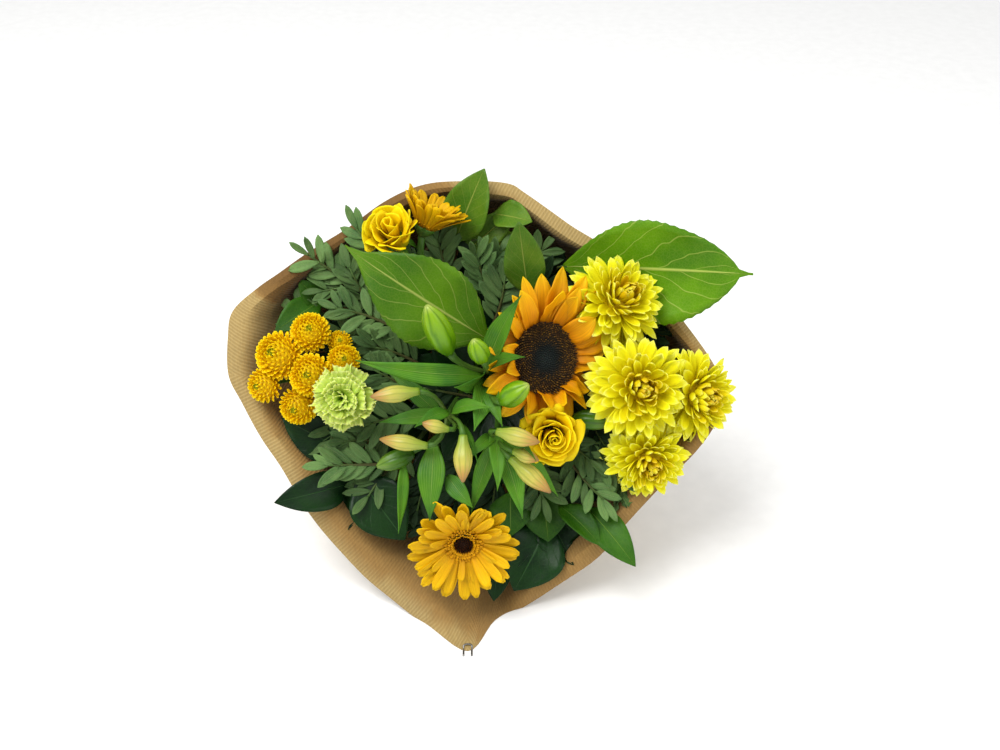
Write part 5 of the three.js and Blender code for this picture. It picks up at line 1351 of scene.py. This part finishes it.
# %% Chrysanthemums
def crown(growth, pattern, name, matrix, count, heart, size, widest, first, last, shape, loose,
          slack=1.0):
    """Sets `count` blades in a spiral over a dome; `shape` gives each its bends."""
    reach, toss = reach_of(name, matrix), random.Random(count + len(name))
    for index in range(count):
        share = (index + 0.5) / count
        polar = math.radians(first + (last - first) * share**0.72 + toss.uniform(-loose, loose))
        turn = math.radians(index * GOLDEN_ANGLE + toss.uniform(-loose, loose))
        radial = np.array([math.cos(turn), math.sin(turn), 0.0])
        out = radial * math.sin(polar) + np.array([0, 0, math.cos(polar)])
        inwards = np.array([0, 0, math.sin(polar)]) - radial * math.cos(polar)
        far, bends = shape(share)
        length = max(min(size * far, reach(out) * slack) - heart * 0.8, heart * 0.35)
        width = widest * min(1.0, 0.55 + share)
        blade = swept(pattern, length, width, **bends)
        blade = moved(moved(blade, stand(out * heart * 0.8, out, inwards)), matrix)
        growth.grow(pattern, kept_inside(blade, 1.5, True), min(share + toss.uniform(0, 0.3), 1.0))


def mum(name, seed):
    """One spray chrysanthemum head: straps in a spiral round its heart."""
    at, aim, size = HEADS[name]
    matrix = bloom_frame(at, aim, size * 0.12)
    toss = random.Random(seed)
    heart = size * 0.42
    head = Growth()
    head.grow(TWIG, cushion(matrix, [z * heart for z in (-1, -0.6, 0, 0.6, 1)],
                            [heart * 0.4, heart * 0.8, heart, heart * 0.8, 1]), 0.1)

    def shape(share):
        far = 0.76 + 0.5 * share
        return far * toss.uniform(0.88, 1.08), {
            "curl": 62 - 84 * share + toss.uniform(-20, 20), "hook": toss.uniform(-25, 35),
            "cup": toss.uniform(25, 70), "twist": toss.uniform(-30, 30),
            "sway": toss.uniform(-0.12, 0.12)}
    crown(head, SPOON, name, matrix, 150, heart, size, size * 0.27, 2, 122, shape, 7, 1.12)
    head.piece(f"{name}_straps", MUM_STRAP, "chrysanthemum_petal", [f"{name}_head"], 0.4)
    return matrix


def button(name):
    """One button head with its green eye."""
    at, aim, size = HEADS[name]
    size *= 1.12
    matrix = bloom_frame(at, aim, size * 0.3)
    heart = size * 0.8
    head = Growth()
    head.grow(TWIG, cushion(matrix, [z * heart for z in (-0.5, -0.2, 0.3, 0.7, 0.93)],
                            [heart * 0.7, heart * 0.9, heart * 0.9, heart * 0.6, 1]), 0.1)

    def shape(share):
        return 0.98 + 0.06 * share, {"curl": 60 - 10 * share, "cup": 80.0, "hook": 10.0}
    count = int(30 + size * 5.4)
    crown(head, QUILL, name, matrix, count, heart, size, size * 0.23, 14, 112, shape, 2, 1.1)
    nodes = [] if name == "button_7" else [f"{name}_head"]
    head.piece(f"{name}_florets", BUTTON_FLORET, "button_petal", nodes, 0.3)
    eye = Growth()
    for index in range(16):
        quill = swept(QUILL, size * 0.14, size * 0.09, lift=75, curl=40, cup=60)
        turn = index * GOLDEN_ANGLE
        eye.grow(QUILL, moved(ringed(quill, turn, size * 0.045 * math.sqrt(index), heart * 0.86),
                              matrix), 0.5)
    eye.piece(f"{name}_eye", BUTTON_EYE, "button_petal", [], 0.3)
    return matrix


mum_frames = [mum(f"mum_{letter}", 40 + index) for index, letter in enumerate("abcd")]
button_names = [f"button_{index}" for index in range(1, 8)]
button_frames = [button(name) for name in button_names]


def head_stems(name, fork, way, matrices, low, radius, cup):
    """A stem up to its fork, and a twig with a green cup to each head."""
    growth = Growth()
    start, aim = on_face(fork), unit(faceward(way))
    grow_stem(growth, name, start, aim, 40)
    for matrix, below in zip(matrices, low):
        look, foot = matrix[:3, 2], matrix[:3, 3] - matrix[:3, 2] * below
        grow_twig(growth, start - aim * 4, foot - look * 2, look, [radius * 1.1, radius])
        growth.grow(TWIG, along_route(TWIG, [foot - look * z for z in (4, 2.5, 1, -1.5)],
                                      [radius, cup * 0.7, cup, cup * 1.05]))
    growth.piece(f"{name}_stem_stalks", STEM_GREEN, "stem_green", [f"{name}_stem"])


head_stems("mum_upper", (86, 36, -92), (0.2, 0.1, 1), mum_frames[:2], [9, 9], 1.7, 6)
head_stems("mum_lower", (104, -18, -106), (0.3, -0.25, 1), mum_frames[2:], [9, 8], 1.7, 6)
head_stems("button", (-126, 10, -100), (-0.3, 0, 1), button_frames,
           [HEADS[name][2] * 0.35 for name in button_names], 1.2, 4.5)
print("four chrysanthemums and seven buttons")

# %% [markdown]
# The carnation is half open: a dome of fan-shaped petals whose rims are deeply ruffled and
# notched, pale lime with an almost white edge, over a long green calyx.

# %% Carnation
at, aim, _ = HEADS["carnation"]
carnation_frame = bloom_frame(at, aim, 14)
toss = random.Random(51)
ruffles = Growth()
for count, lift, foot, height, length, width in (
        (9, 4, 7, 8, 17.5, 19), (8, 24, 5.5, 11, 16, 18), (7, 44, 4, 13, 14, 16),
        (6, 62, 2.5, 14, 12, 14), (5, 80, 1.0, 14, 11, 11)):
    for index in range(count):
        petal = swept(FAN, length * toss.uniform(0.92, 1.05), width, lift=lift + toss.uniform(-8, 8),
                      curl=toss.uniform(-40, 0), cup=toss.uniform(10, 60), wave=0.34,
                      waves=toss.uniform(0.6, 1.4), phase=toss.uniform(0, 6.3),
                      twist=toss.uniform(-25, 25))
        bite = np.sin(FAN.points[:, 0] * 26 + index) * FAN.points[:, 1]**3 * 2.2
        petal[:, 2] += bite
        turn = (index + toss.uniform(-0.3, 0.3)) * 360 / count
        ruffles.grow(FAN, moved(ringed(petal, turn, foot, height), carnation_frame), toss.random())
ruffles.piece("carnation_ruffles", CARNATION_RUFFLE, "carnation_petal", ["carnation_petals"], 0.35)
look, foot = carnation_frame[:3, 2], carnation_frame[:3, 3]
stalk = Growth()
grow_stem(stalk, "carnation", foot - look * 18, look, 45)
calyx = [foot - look * z for z in (20, 16, 10, 4, -2)]
stalk.grow(TWIG, along_route(TWIG, calyx, [2.2, 4.6, 6.0, 6.4, 8.0]))
stalk.piece("carnation_stalk", CALYX_GREEN, "stem_green", ["carnation_stem"])
print("carnation")

# %% [markdown]
# Lily buds are long and waxy, with six lobes pressed together; alstroemeria buds are smaller,
# drawn out at the foot and flushed with pink and orange at the tip. Both start as a rod with
# many sides, swollen along its route by a list of radii, with grooves pressed in between lobes.

# %% Model a lobed bud
BUD = rod_pattern(18, sides=30)
BUD_LOBES = 6


def bud_shape(base, tip, radius, profile, groove, bow=0.0):
    """A bud from foot to tip; `profile` gives shares of its radius along its length."""
    start, end = on_face(base), on_face(tip)
    middle = (start + end) / 2 + OUT_FACE * bow
    turn = np.arctan2(BUD.points[:, 2], BUD.points[:, 0])
    dent = 1 - groove * (0.5 + 0.5 * np.cos(BUD_LOBES * turn))**3
    pattern = Pattern(BUD.points * np.stack([dent, np.ones(len(dent)), dent], axis=1),
                      BUD.faces, BUD.corners)
    return along_route(pattern, [start, middle, end], [radius * share for share in profile])


LILY_PROFILE = [0.32, 0.62, 0.85, 0.97, 1.0, 0.98, 0.92, 0.78, 0.52, 0.16]
ALSTROEMERIA_PROFILE = [0.42, 0.5, 0.66, 0.88, 1.0, 0.99, 0.88, 0.68, 0.42, 0.1]
LILY_BUDS = {
    "upper": ((-37, 16, 18), (-52, 49, 50), 10), "small": ((-12, 10, 28), (-19, 25, 46), 7.5),
    "right": ((1, -20, 24), (20, -7, 42), 8.5),
}
ALSTROEMERIA_BUDS = {
    "left_upper": ((-60, -12, 12), (-95, -16, 20), 6.5), "left_lower": ((-54, -53, 4), (-90, -48, 2), 6.2),
    "left_small": ((-38, -40, 20), (-57, -35, 26), 5.0), "hanging": ((-27, -44, 24), (-27, -78, 28), 6.8),
    "right_upper": ((-2, -41, 34), (28, -48, 46), 6.6), "right_small": ((10, -56, 22), (28, -62, 30), 5.2),
    "right_lower": ((8, -62, 12), (37, -86, 22), 6.8),
}


def grow_buds(buds, slot, finish, profile, groove, bow):
    """Makes a piece of each bud: its foot, its tip and its radius."""
    for name, place in buds.items():
        growth = Growth()
        growth.grow(BUD, bud_shape(*place, profile, groove, bow))
        growth.piece(f"{slot}_{name}_lobes", finish, slot, [f"{slot}_{name}"])


grow_buds(LILY_BUDS, "lily_bud", LILY_BUD, LILY_PROFILE, 0.2, 0.8)
grow_buds(ALSTROEMERIA_BUDS, "alstroemeria_bud", ALSTROEMERIA_BUD, ALSTROEMERIA_PROFILE, 0.13, 0.5)
# The two low lily buds get the darker bud finish, which is painted shade.
for name, base, tip, radius in (("lily_left", (-66, -60, -20), (-94, -70, -18), 7.5),
                                ("lily_right", (56, -33, -26), (86, -36, -22), 8)):
    growth = Growth()
    growth.grow(BUD, bud_shape(base, tip, radius, LILY_PROFILE, 0.2))
    growth.piece(f"{name}_bud", SHADE_PAINTED_LILY_BUD, "lily_bud", [])
    along = unit(on_face(tip) - on_face(base))
    growth = Growth()
    grow_stem(growth, name, on_face(base) + along * 4, along, 40)
    growth.piece(f"{name}_stalk", STEM_GREEN, "lily_green", [name])
print("buds:", len(LILY_BUDS) + len(ALSTROEMERIA_BUDS) + 2)

# %% [markdown]
# A lily and an alstroemeria part into stalks just below their buds, where a whorl of leaves grows.
# The leaves are long straps with parallel veins; they are laid one by one, because they fill the
# middle of the bunch and the eye soon finds one that is out of place.


# %% Lily and alstroemeria stems and leaves
def stalks_and_leaves(name, fork, buds, radius, leaves):
    """A stem, a stalk to each bud, and the strap leaves: base, tip, width, facing, curl, twist."""
    growth = Growth()
    grow_stem(growth, name, on_face(fork), OUT_FACE, 50)
    start = on_face((fork[0], fork[1], fork[2] - 4))
    for base, tip, bud_radius in buds:
        way = unit(on_face(tip) - on_face(base))
        grow_twig(growth, start, on_face(base) + way * 1.5, way,
                  [radius * 1.1, radius, radius * 1.15, bud_radius * 0.34], 14)
    growth.piece(f"{name}_stalks", STEM_GREEN, "lily_green", [f"{name}_stem"])
    blades = Growth()
    toss = random.Random(len(name) + len(leaves))
    for base, tip, width, facing, curl, twist in leaves:
        blades.grow(LANCE, between(LANCE, base, tip, width, facing, curl=curl, twist=twist,
                                   cup=toss.uniform(15, 40), sway=toss.uniform(-0.06, 0.06),
                                   wave=toss.uniform(0.02, 0.08)), toss.uniform(0.3, 1.0))
    blades.piece(f"{name}_leaves", LILY_LEAF, "lily_green", [], 0.6)


stalks_and_leaves("lily_middle", (-10, 2, -4), list(LILY_BUDS.values()), 1.7, [
    ((-10, 4, -5), (15, 57, 42), 20, (-0.5, 0, 0.8), -25, 0),
    ((-9, 2, -3), (18, 13, 38), 14, (-0.4, 0.5, 0.8), -55, 0),
    ((-12, 0, -6), (-33, -9, 33), 17, (0.4, -0.6, 0.7), -40, 0),
    ((-10, -2, -6), (-19, -41, 26), 19, (0.3, 0.3, 0.9), -35, 10),
    ((-12, 1, -6), (-107, 11, 14), 19, (0, -0.3, 0.95), -40, 12),
    ((-8, -4, -4), (2, -38, 22), 15, (-0.2, 0.2, 0.9), -60, -20),
])
stalks_and_leaves("alstroemeria_left", (-40, -30, -6),
                  [ALSTROEMERIA_BUDS[k] for k in ("left_upper", "left_lower", "left_small", "hanging")],
                  1.3, [
    ((-50, -52, -8), (-53, -110, -4), 22, (-0.3, 0, 0.95), -20, 8),
    ((-40, -30, -11), (-92, -36, -12), 13, (0, 0.3, 0.95), -30, 0),
    ((-38, -28, 2), (-62, -38, 30), 11, (0.1, 0.6, 0.8), -50, 40),
    ((-36, -28, 4), (-6, -24, 30), 12, (0, 0.5, 0.9), -70, -15),
    ((-34, -36, -2), (-16, -66, 20), 9, (0.4, 0, 0.9), -80, 60),
    ((-74, -66, -22), (-78, -122, -22), 10, (0.3, 0, 0.9), -30, 30),
    ((-40, -76, -10), (-20, -100, 0), 15, (-0.2, 0.2, 0.95), -30, 0),
    ((-44, -32, -12), (-86, 4, -16), 14, (0, 0.2, 0.95), -30, 10),
])
stalks_and_leaves("alstroemeria_right", (-2, -48, -8),
                  [ALSTROEMERIA_BUDS[k] for k in ("right_upper", "right_small", "right_lower")],
                  1.3, [
    ((-2, -48, -12), (17, -108, -2), 21, (0.4, 0, 0.9), -25, 10),
    ((-2, -48, -13), (-22, -105, -12), 16, (-0.5, 0, 0.85), -25, 0),
    ((-6, -40, -2), (-2, -86, 12), 13, (0.5, 0, 0.8), -35, -40),
    ((-2, -40, 4), (26, -62, 34), 9, (0.1, 0.6, 0.8), -70, 20),
    ((-2, -46, -8), (-28, -66, 14), 10, (-0.3, 0.2, 0.9), -90, 50),
    ((0, -46, -12), (44, -92, -8), 15, (0.3, 0.2, 0.9), -40, 0),
])
print("stems and strap leaves")

# %% [markdown]
# The large leaves set the outline of the bunch. Two are broad garden leaves with pale veins and a
# toothed rim, one of them standing out over the paper; the rest are salal and its like, waxy and
# dark, with a few paler young ones. Each grows on a stalk from a woody stem.


# %% Large leaves
def leafy_stem(name, fork, leaves, pattern, finish, slot, seed=1):
    """A woody stem with leaves on stalks: base, tip, width, facing, and bends."""
    top = on_face(fork)
    growth, blades, toss = Growth(), Growth(), random.Random(seed)
    grow_stem(growth, name, top, unit(top - BINDING), 40)
    for base, tip, width, facing, bends in leaves:
        way = unit(on_face(tip) - on_face(base))
        grow_twig(growth, top, on_face(base) + way * 3, way, [1.5, 1.1, 0.9], 8)
        shape = {"curl": -18, "cup": 22, "wave": 0.05, "phase": toss.uniform(0, 6), **bends}
        shade = shape.pop("shade", toss.uniform(0.3, 0.9))
        leaf = between(pattern, base, tip, width, facing, **shape)
        blades.grow(pattern, kept_inside(leaf, 2.0, True), shade)
    growth.piece(f"{name}_stalks", WOODY_STEM, "stem_green", [])
    blades.piece(f"{name}_blades", finish, slot, [name], 0.6)


# Painted light and shade: the left broad leaf's shade of 0.12 paints it darker, and the right one's 0.8
# paints it brighter, as if lit more.
leafy_stem("leaf_big_left", (-16, 24, -40), [
    ((-9, 27, -13), (-116, 97, 2), 70, (-0.15, -0.1, 0.98),
     {"curl": -24, "cup": 24, "wave": 0.05, "waves": 3.5, "hook": -20, "shade": 0.12})],
    BROAD, BROAD_LEAF, "pale_leaf", 2)
leafy_stem("leaf_big_right", (44, 84, -74), [
    ((50, 86, -51), (191, 76, -5), 86, (0, -0.45, 1),
     {"curl": -14, "cup": 26, "wave": 0.09, "waves": 1.7, "phase": 1.0, "sway": 0.07, "shade": 0.8})],
    FULL, BROAD_LEAF, "pale_leaf", 3)
leafy_stem("leaf_spotted", (20, 60, -46), [
    ((22, 62, -34), (14, 116, -8), 33, (0, -0.2, 1), {"cup": 30})], OVATE, PALE_LEAF, "pale_leaf", 4)
leafy_stem("shallon_top", (-26, 104, -70), [
    ((-36, 106, -62), (-12, 160, -32), 40, (-0.2, -0.1, 1), {"cup": 40}),
    ((-6, 128, -56), (25, 119, -34), 27, (0, 0.3, 1), {"cup": 36}),
    ((-20, 108, -60), (28, 98, -54), 24, (0, 0.1, 1), {}),
    ((-30, 96, -66), (14, 132, -52), 26, (0, 0.1, 1), {}),
], OVATE, PALE_LEAF, "pale_leaf", 5)
leafy_stem("shallon_corner", (-138, 50, -72), [
    ((-142, 59, -58), (-176, 34, -40), 26, (0, 0.2, 1), {"cup": 40}),
    ((-138, 54, -60), (-159, 75, -48), 20, (0, 0, 1), {}),
], OVATE, SALAL_PALE, "dark_leaf", 6)
leafy_stem("shallon_left", (-112, -76, -78), [
    ((-117, -63, -60), (-172, -34, -48), 38, (0, 0.1, 1), {"cup": 18}),
    ((-118, -86, -62), (-175, -99, -32), 32, (0.1, 0, 1), {"curl": -45, "cup": 30}),
    ((-112, -80, -50), (-75, -130, -48), 48, (0, 0.1, 1), {"cup": 30}),
    ((-110, -70, -66), (-120, -122, -58), 34, (0, 0.1, 1), {}),
], OVATE, SALAL_LEAF, "dark_leaf", 7)
leafy_stem("shallon_bottom", (14, -118, -82), [
    ((40, -118, -58), (11, -171, -54), 52, (0, 0.1, 1), {"cup": 24}),
    ((0, -138, -66), (-5, -180, -58), 24, (0, 0, 1), {}),
    ((26, -112, -62), (-14, -168, -62), 34, (-0.2, 0.1, 1), {}),
    ((36, -108, -64), (58, -150, -58), 38, (0.2, 0.1, 1), {}),
], OVATE, SALAL_LEAF, "dark_leaf", 8)
leafy_stem("shallon_right", (56, -104, -66), [
    ((46, -102, -42), (77, -131, -24), 24, (0.3, 0.3, 0.9), {"curl": -40, "cup": 55}),
    ((68, -104, -46), (104, -147, -22), 28, (0.2, 0, 1), {"curl": -50}),
    ((8, -92, -46), (8, -126, -38), 34, (0.1, 0, 1), {"cup": 18}),
    ((34, -96, -52), (38, -131, -46), 36, (0.1, 0, 1), {"cup": 18}),
], OVATE, SALAL_PALE, "dark_leaf", 9)
print("large leaves")

# %% [markdown]
# Pistache fills the bunch: sprigs of matt leaflets in pairs along a thin rib, pushed in wherever
# there is room. Six sprigs stand for the part's fronds, and more are tucked in deeper between the
# blooms, where they are seen only as dark green leaves in the shade. That shade is also painted:
# tucked leaflets get lower shades, and the deepest ones a darker copy of the pistache finish.

# %% Pistache
LEAFLET_LONG = 23.5
LEAFLET_WIDE = 7.6


def grow_sprig(leaves, ribs, foot, tip, pairs, facing, bow, toss, tucked=False):
    """Adds a rib and its pairs of leaflets, and gives the way in which the rib grows."""
    start, end = on_face(foot), on_face(tip)
    way, face = unit(end - start), unit(faceward(facing))
    side = unit(np.cross(way, face))
    length = np.linalg.norm(end - start)
    rib = [start + (end - start) * t + side * bow * length * 4 * t * (1 - t)
           for t in np.linspace(0, 1, 9)]
    rib = kept_inside(np.array(rib), 5.0, not tucked)
    for index in range(pairs * 2 + 1):
        hand = (index % 2) * 2 - 1
        t = 0.1 + 0.87 * index / (pairs * 2)
        last = index == pairs * 2
        spread = 0 if last else math.radians(toss.uniform(34, 62) - 16 * t)
        out = way * math.cos(spread) + side * hand * math.sin(spread) + face * toss.uniform(-0.25, 0.3)
        tilt = face + side * hand * toss.uniform(-0.5, 0.5) + way * toss.uniform(-0.3, 0.2)
        size = LEAFLET_LONG * (0.82 + 0.3 * math.sin(math.pi * t)) * toss.uniform(0.85, 1.12)
        leaf = swept(LEAFLET, size, size * LEAFLET_WIDE / LEAFLET_LONG * toss.uniform(0.9, 1.15),
                     curl=toss.uniform(-45, 15), cup=toss.uniform(5, 40),
                     twist=toss.uniform(-20, 20), sway=toss.uniform(-0.1, 0.1))
        root = smooth_route(rib, np.array([t]))[0]
        leaf = moved(leaf, stand(root, out, tilt))
        # Tucked leaflets get lower shades than the sprigs over the rim, which paints them darker as
        # painted shade.
        shade = toss.random() * 0.6 if tucked else toss.random() + 0.25
        leaves.grow(LEAFLET, kept_inside(leaf, over_rim=not tucked), shade)
    ribs.grow(TWIG, along_route(TWIG, rib, [1.1, 0.8, 0.5]))
    return way


# Foot, tip, pairs of leaflets, facing, and how much the rib bows.
SPRIGS = {
    "pistache_rim": ((-100, 60, -58), (-150, 94, -38), 6, (0, 0, 1), 0.0),
    "pistache_upper": ((-84, 66, -56), (-112, 114, -35), 6, (-0.2, 0, 1), 0.05),
    "pistache_inner": ((-72, 30, -48), (-128, 52, -34), 7, (0, 0.1, 1), 0.06),
    "pistache_top": ((-12, 64, -62), (-20, 94, -40), 5, (0, 0, 1), 0.05),
    "pistache_left": ((-84, -70, -46), (-134, -70, -30), 6, (0, 0.1, 1), 0.0),
    "pistache_right": ((50, -58, -48), (80, -96, -26), 6, (0.2, 0, 1), 0.05),
}
for name, (foot, tip, pairs, facing, bow) in SPRIGS.items():
    toss = random.Random(len(name) * 3 + pairs)
    leaves, ribs = Growth(), Growth()
    way = grow_sprig(leaves, ribs, foot, tip, pairs, facing, bow, toss)
    grow_stem(ribs, name, on_face(foot), unit(way + AXIS), 22, top=0.7)
    ribs.piece(f"{name}_ribs", WOODY_STEM, "pistache_leaf", [])
    leaves.piece(f"{name}_leaflets", PISTACHE_LEAF, "pistache_leaf", [name], 0.45)

# Sprigs tucked in between: foot, tip, pairs, bow, and 1 where they lie deep in the shade and get the
# darker finish of painted shade.
TUCKED = [
    ((-96, 66, -64), (-140, 66, -46), 5, 0.05, 0), ((-100, 44, -64), (-118, 84, -44), 5, 0.0, 0),
    ((-60, 60, -70), (-84, 92, -50), 4, 0.05, 0), ((-90, 20, -60), (-124, 34, -44), 4, 0.0, 0),
    ((-44, 70, -70), (-50, 108, -54), 5, 0.05, 0), ((-24, 60, -66), (0, 98, -50), 5, 0.0, 0),
    ((-6, 40, -60), (4, 78, -40), 5, 0.05, 0), ((10, 70, -64), (34, 100, -56), 4, 0.0, 0),
    ((-60, 6, -60), (-100, 22, -40), 5, 0.05, 0), ((-66, -14, -56), (-98, 4, -38), 4, 0.0, 0),
    ((-60, -30, -50), (-104, -40, -34), 5, 0.05, 0), ((-84, -50, -56), (-122, -52, -42), 5, 0.0, 0),
    ((-72, -60, -60), (-104, -96, -44), 4, 0.05, 0), ((-56, -70, -66), (-66, -108, -56), 4, 0.0, 1),
    ((-30, -60, -70), (-34, -100, -60), 5, 0.05, 1), ((0, -60, -70), (-6, -104, -60), 5, 0.0, 1),
    ((24, -60, -60), (34, -96, -40), 5, 0.05, 0), ((44, -44, -56), (70, -66, -34), 5, 0.0, 0),
    ((64, -44, -52), (92, -76, -32), 5, 0.05, 0), ((62, -20, -56), (82, -56, -36), 4, 0.0, 1),
    ((84, -64, -56), (104, -96, -42), 5, 0.0, 0), ((60, 40, -70), (72, 82, -56), 4, 0.0, 1),
    ((70, 20, -70), (96, 28, -52), 4, 0.0, 1), ((30, 40, -60), (30, 80, -46), 4, 0.0, 1),
    ((-120, -20, -64), (-136, -56, -50), 4, 0.0, 0), ((-110, 8, -70), (-140, 20, -52), 4, 0.0, 1),
    ((-10, -20, -66), (-60, -10, -40), 5, 0.0, 1), ((-20, 30, -70), (-56, 44, -46), 5, 0.0, 1),
    ((100, 24, -70), (130, 40, -52), 4, 0.0, 1), ((-130, 30, -70), (-160, 50, -54), 4, 0.0, 0),
    ((20, -30, -60), (60, -20, -40), 5, 0.0, 1), ((-60, 100, -70), (-30, 124, -56), 4, 0.0, 1),
    ((-20, -90, -74), (-60, -120, -64), 4, 0.0, 1), ((30, -80, -70), (60, -110, -60), 4, 0.0, 1),
    ((104, 0, -66), (132, 14, -52), 3, 0.0, 1), ((92, -40, -66), (116, -56, -52), 3, 0.0, 1),
]
TWIGS_PART = BINDING + AXIS * 90
for deep, kind, finish in ((0, "tucked", PISTACHE_LEAF), (1, "deep", SHADE_PAINTED_LEAFLET)):
    toss = random.Random(71 + deep)
    leaves, ribs = Growth(), Growth()
    for foot, tip, pairs, bow, shaded in TUCKED:
        if shaded == deep:
            grow_sprig(leaves, ribs, foot, tip, pairs + 1, (0, 0.05, 1), bow, toss, True)
            start = kept_inside(on_face(foot)[None], 6.0)[0]
            grow_twig(ribs, TWIGS_PART + (start - TWIGS_PART) * 0.12, start,
                      unit(start - BINDING), [1.2, 1.1], 30)
    leaves.piece(f"pistache_{kind}_leaflets", finish, "pistache_leaf", [], 0.45)
    ribs.piece(f"pistache_{kind}_ribs", WOODY_STEM, "pistache_leaf", [])
print("pistache sprigs:", len(SPRIGS) + len(TUCKED))

# %% [markdown]
# Deep in the cone the leaves of all these stems fill the dark. Broad leaves laid against each
# other behind the blooms stand for them; they close the view to the bare stems, as in the bunch.

# %% Leaves behind the blooms
toss = random.Random(81)
backing = Growth()
BACKING_MIDDLE = (-12, -14)
BACKING_ROUNDNESS = 1.15
# How many leaves a ring has, how far in and out they reach, and how deep they lie.
BACKING_RINGS = [(9, 16, 62, -74), (14, 48, 100, -82), (18, 84, 128, -84)]
for ring, (count, near, far, out) in enumerate(BACKING_RINGS):
    for index in range(count):
        turn = (index + 0.5 * ring) / count * 2 * math.pi + toss.uniform(-0.12, 0.12)
        cos, sin = math.cos(turn), math.sin(turn)
        (right, up), wide = BACKING_MIDDLE, cos * BACKING_ROUNDNESS
        base = (right + near * wide, up + near * sin, out + toss.uniform(-8, 0))
        tip = (right + far * wide, up + far * sin, out + 16 + toss.uniform(-6, 4))
        leaf = between(OVATE, base, tip, toss.uniform(30, 42), (0.3 * cos, 0.3 * sin, 1),
                       curl=-20, cup=20, twist=toss.uniform(-15, 15))
        backing.grow(OVATE, kept_inside(leaf), toss.uniform(0.0, 0.5))
backing.piece("leaves_behind_blooms", SALAL_LEAF, "dark_leaf", [], 0.5)
print("leaves behind the blooms:", sum(count for count, *_ in BACKING_RINGS))

# %% [markdown]
# Jute twine, wound a few times round the stems, holds the bunch, and one wire staple holds the
# two edges of the paper at its front tip.

# %% Twine and staple
TWINE_RADIUS = 0.85
TWINE_TURNS = 4
COIL_STEPS = 24
COIL_WIDE = 4.8
COIL_RADIUS = BUNDLE_RADIUS + TWINE_RADIUS + 0.1
coil = []
for step in range(TWINE_TURNS * COIL_STEPS + 1):
    turn = step * 2 * math.pi / COIL_STEPS
    along = COIL_WIDE * (step / (TWINE_TURNS * COIL_STEPS) - 0.5)
    coil.append(in_bundle(along, np.array([math.cos(turn), math.sin(turn)]) * COIL_RADIUS))
COIL = rod_pattern(TWINE_TURNS * COIL_STEPS, sides=8)
twine = Growth()
twine.grow(COIL, along_route(COIL, coil, [TWINE_RADIUS, TWINE_RADIUS]))
twine.piece("twine_winding", TWINE, "twine", ["stem_tie"])

STAPLE_HALF = 3.2
LEG_HEIGHT, CROWN_HEIGHT = 0.7, 1.7
paper_tip = on_face(RIM[0][:3]) * np.array([1, 1, 0])
left_leg = [(-STAPLE_HALF, -5, LEG_HEIGHT), (-STAPLE_HALF, 2.6, LEG_HEIGHT),
            (-STAPLE_HALF, 4.6, CROWN_HEIGHT)]
right_leg = [(STAPLE_HALF, along, height) for _, along, height in reversed(left_leg)]
wire_route = [paper_tip + np.array(place) for place in left_leg + right_leg]
wire = Growth()
wire.grow(ROD, along_route(ROD, wire_route, [0.45, 0.45]))
wire.piece("wire_staple", STEEL_WIRE, "staple_wire", ["staple"])
print("twine and staple")
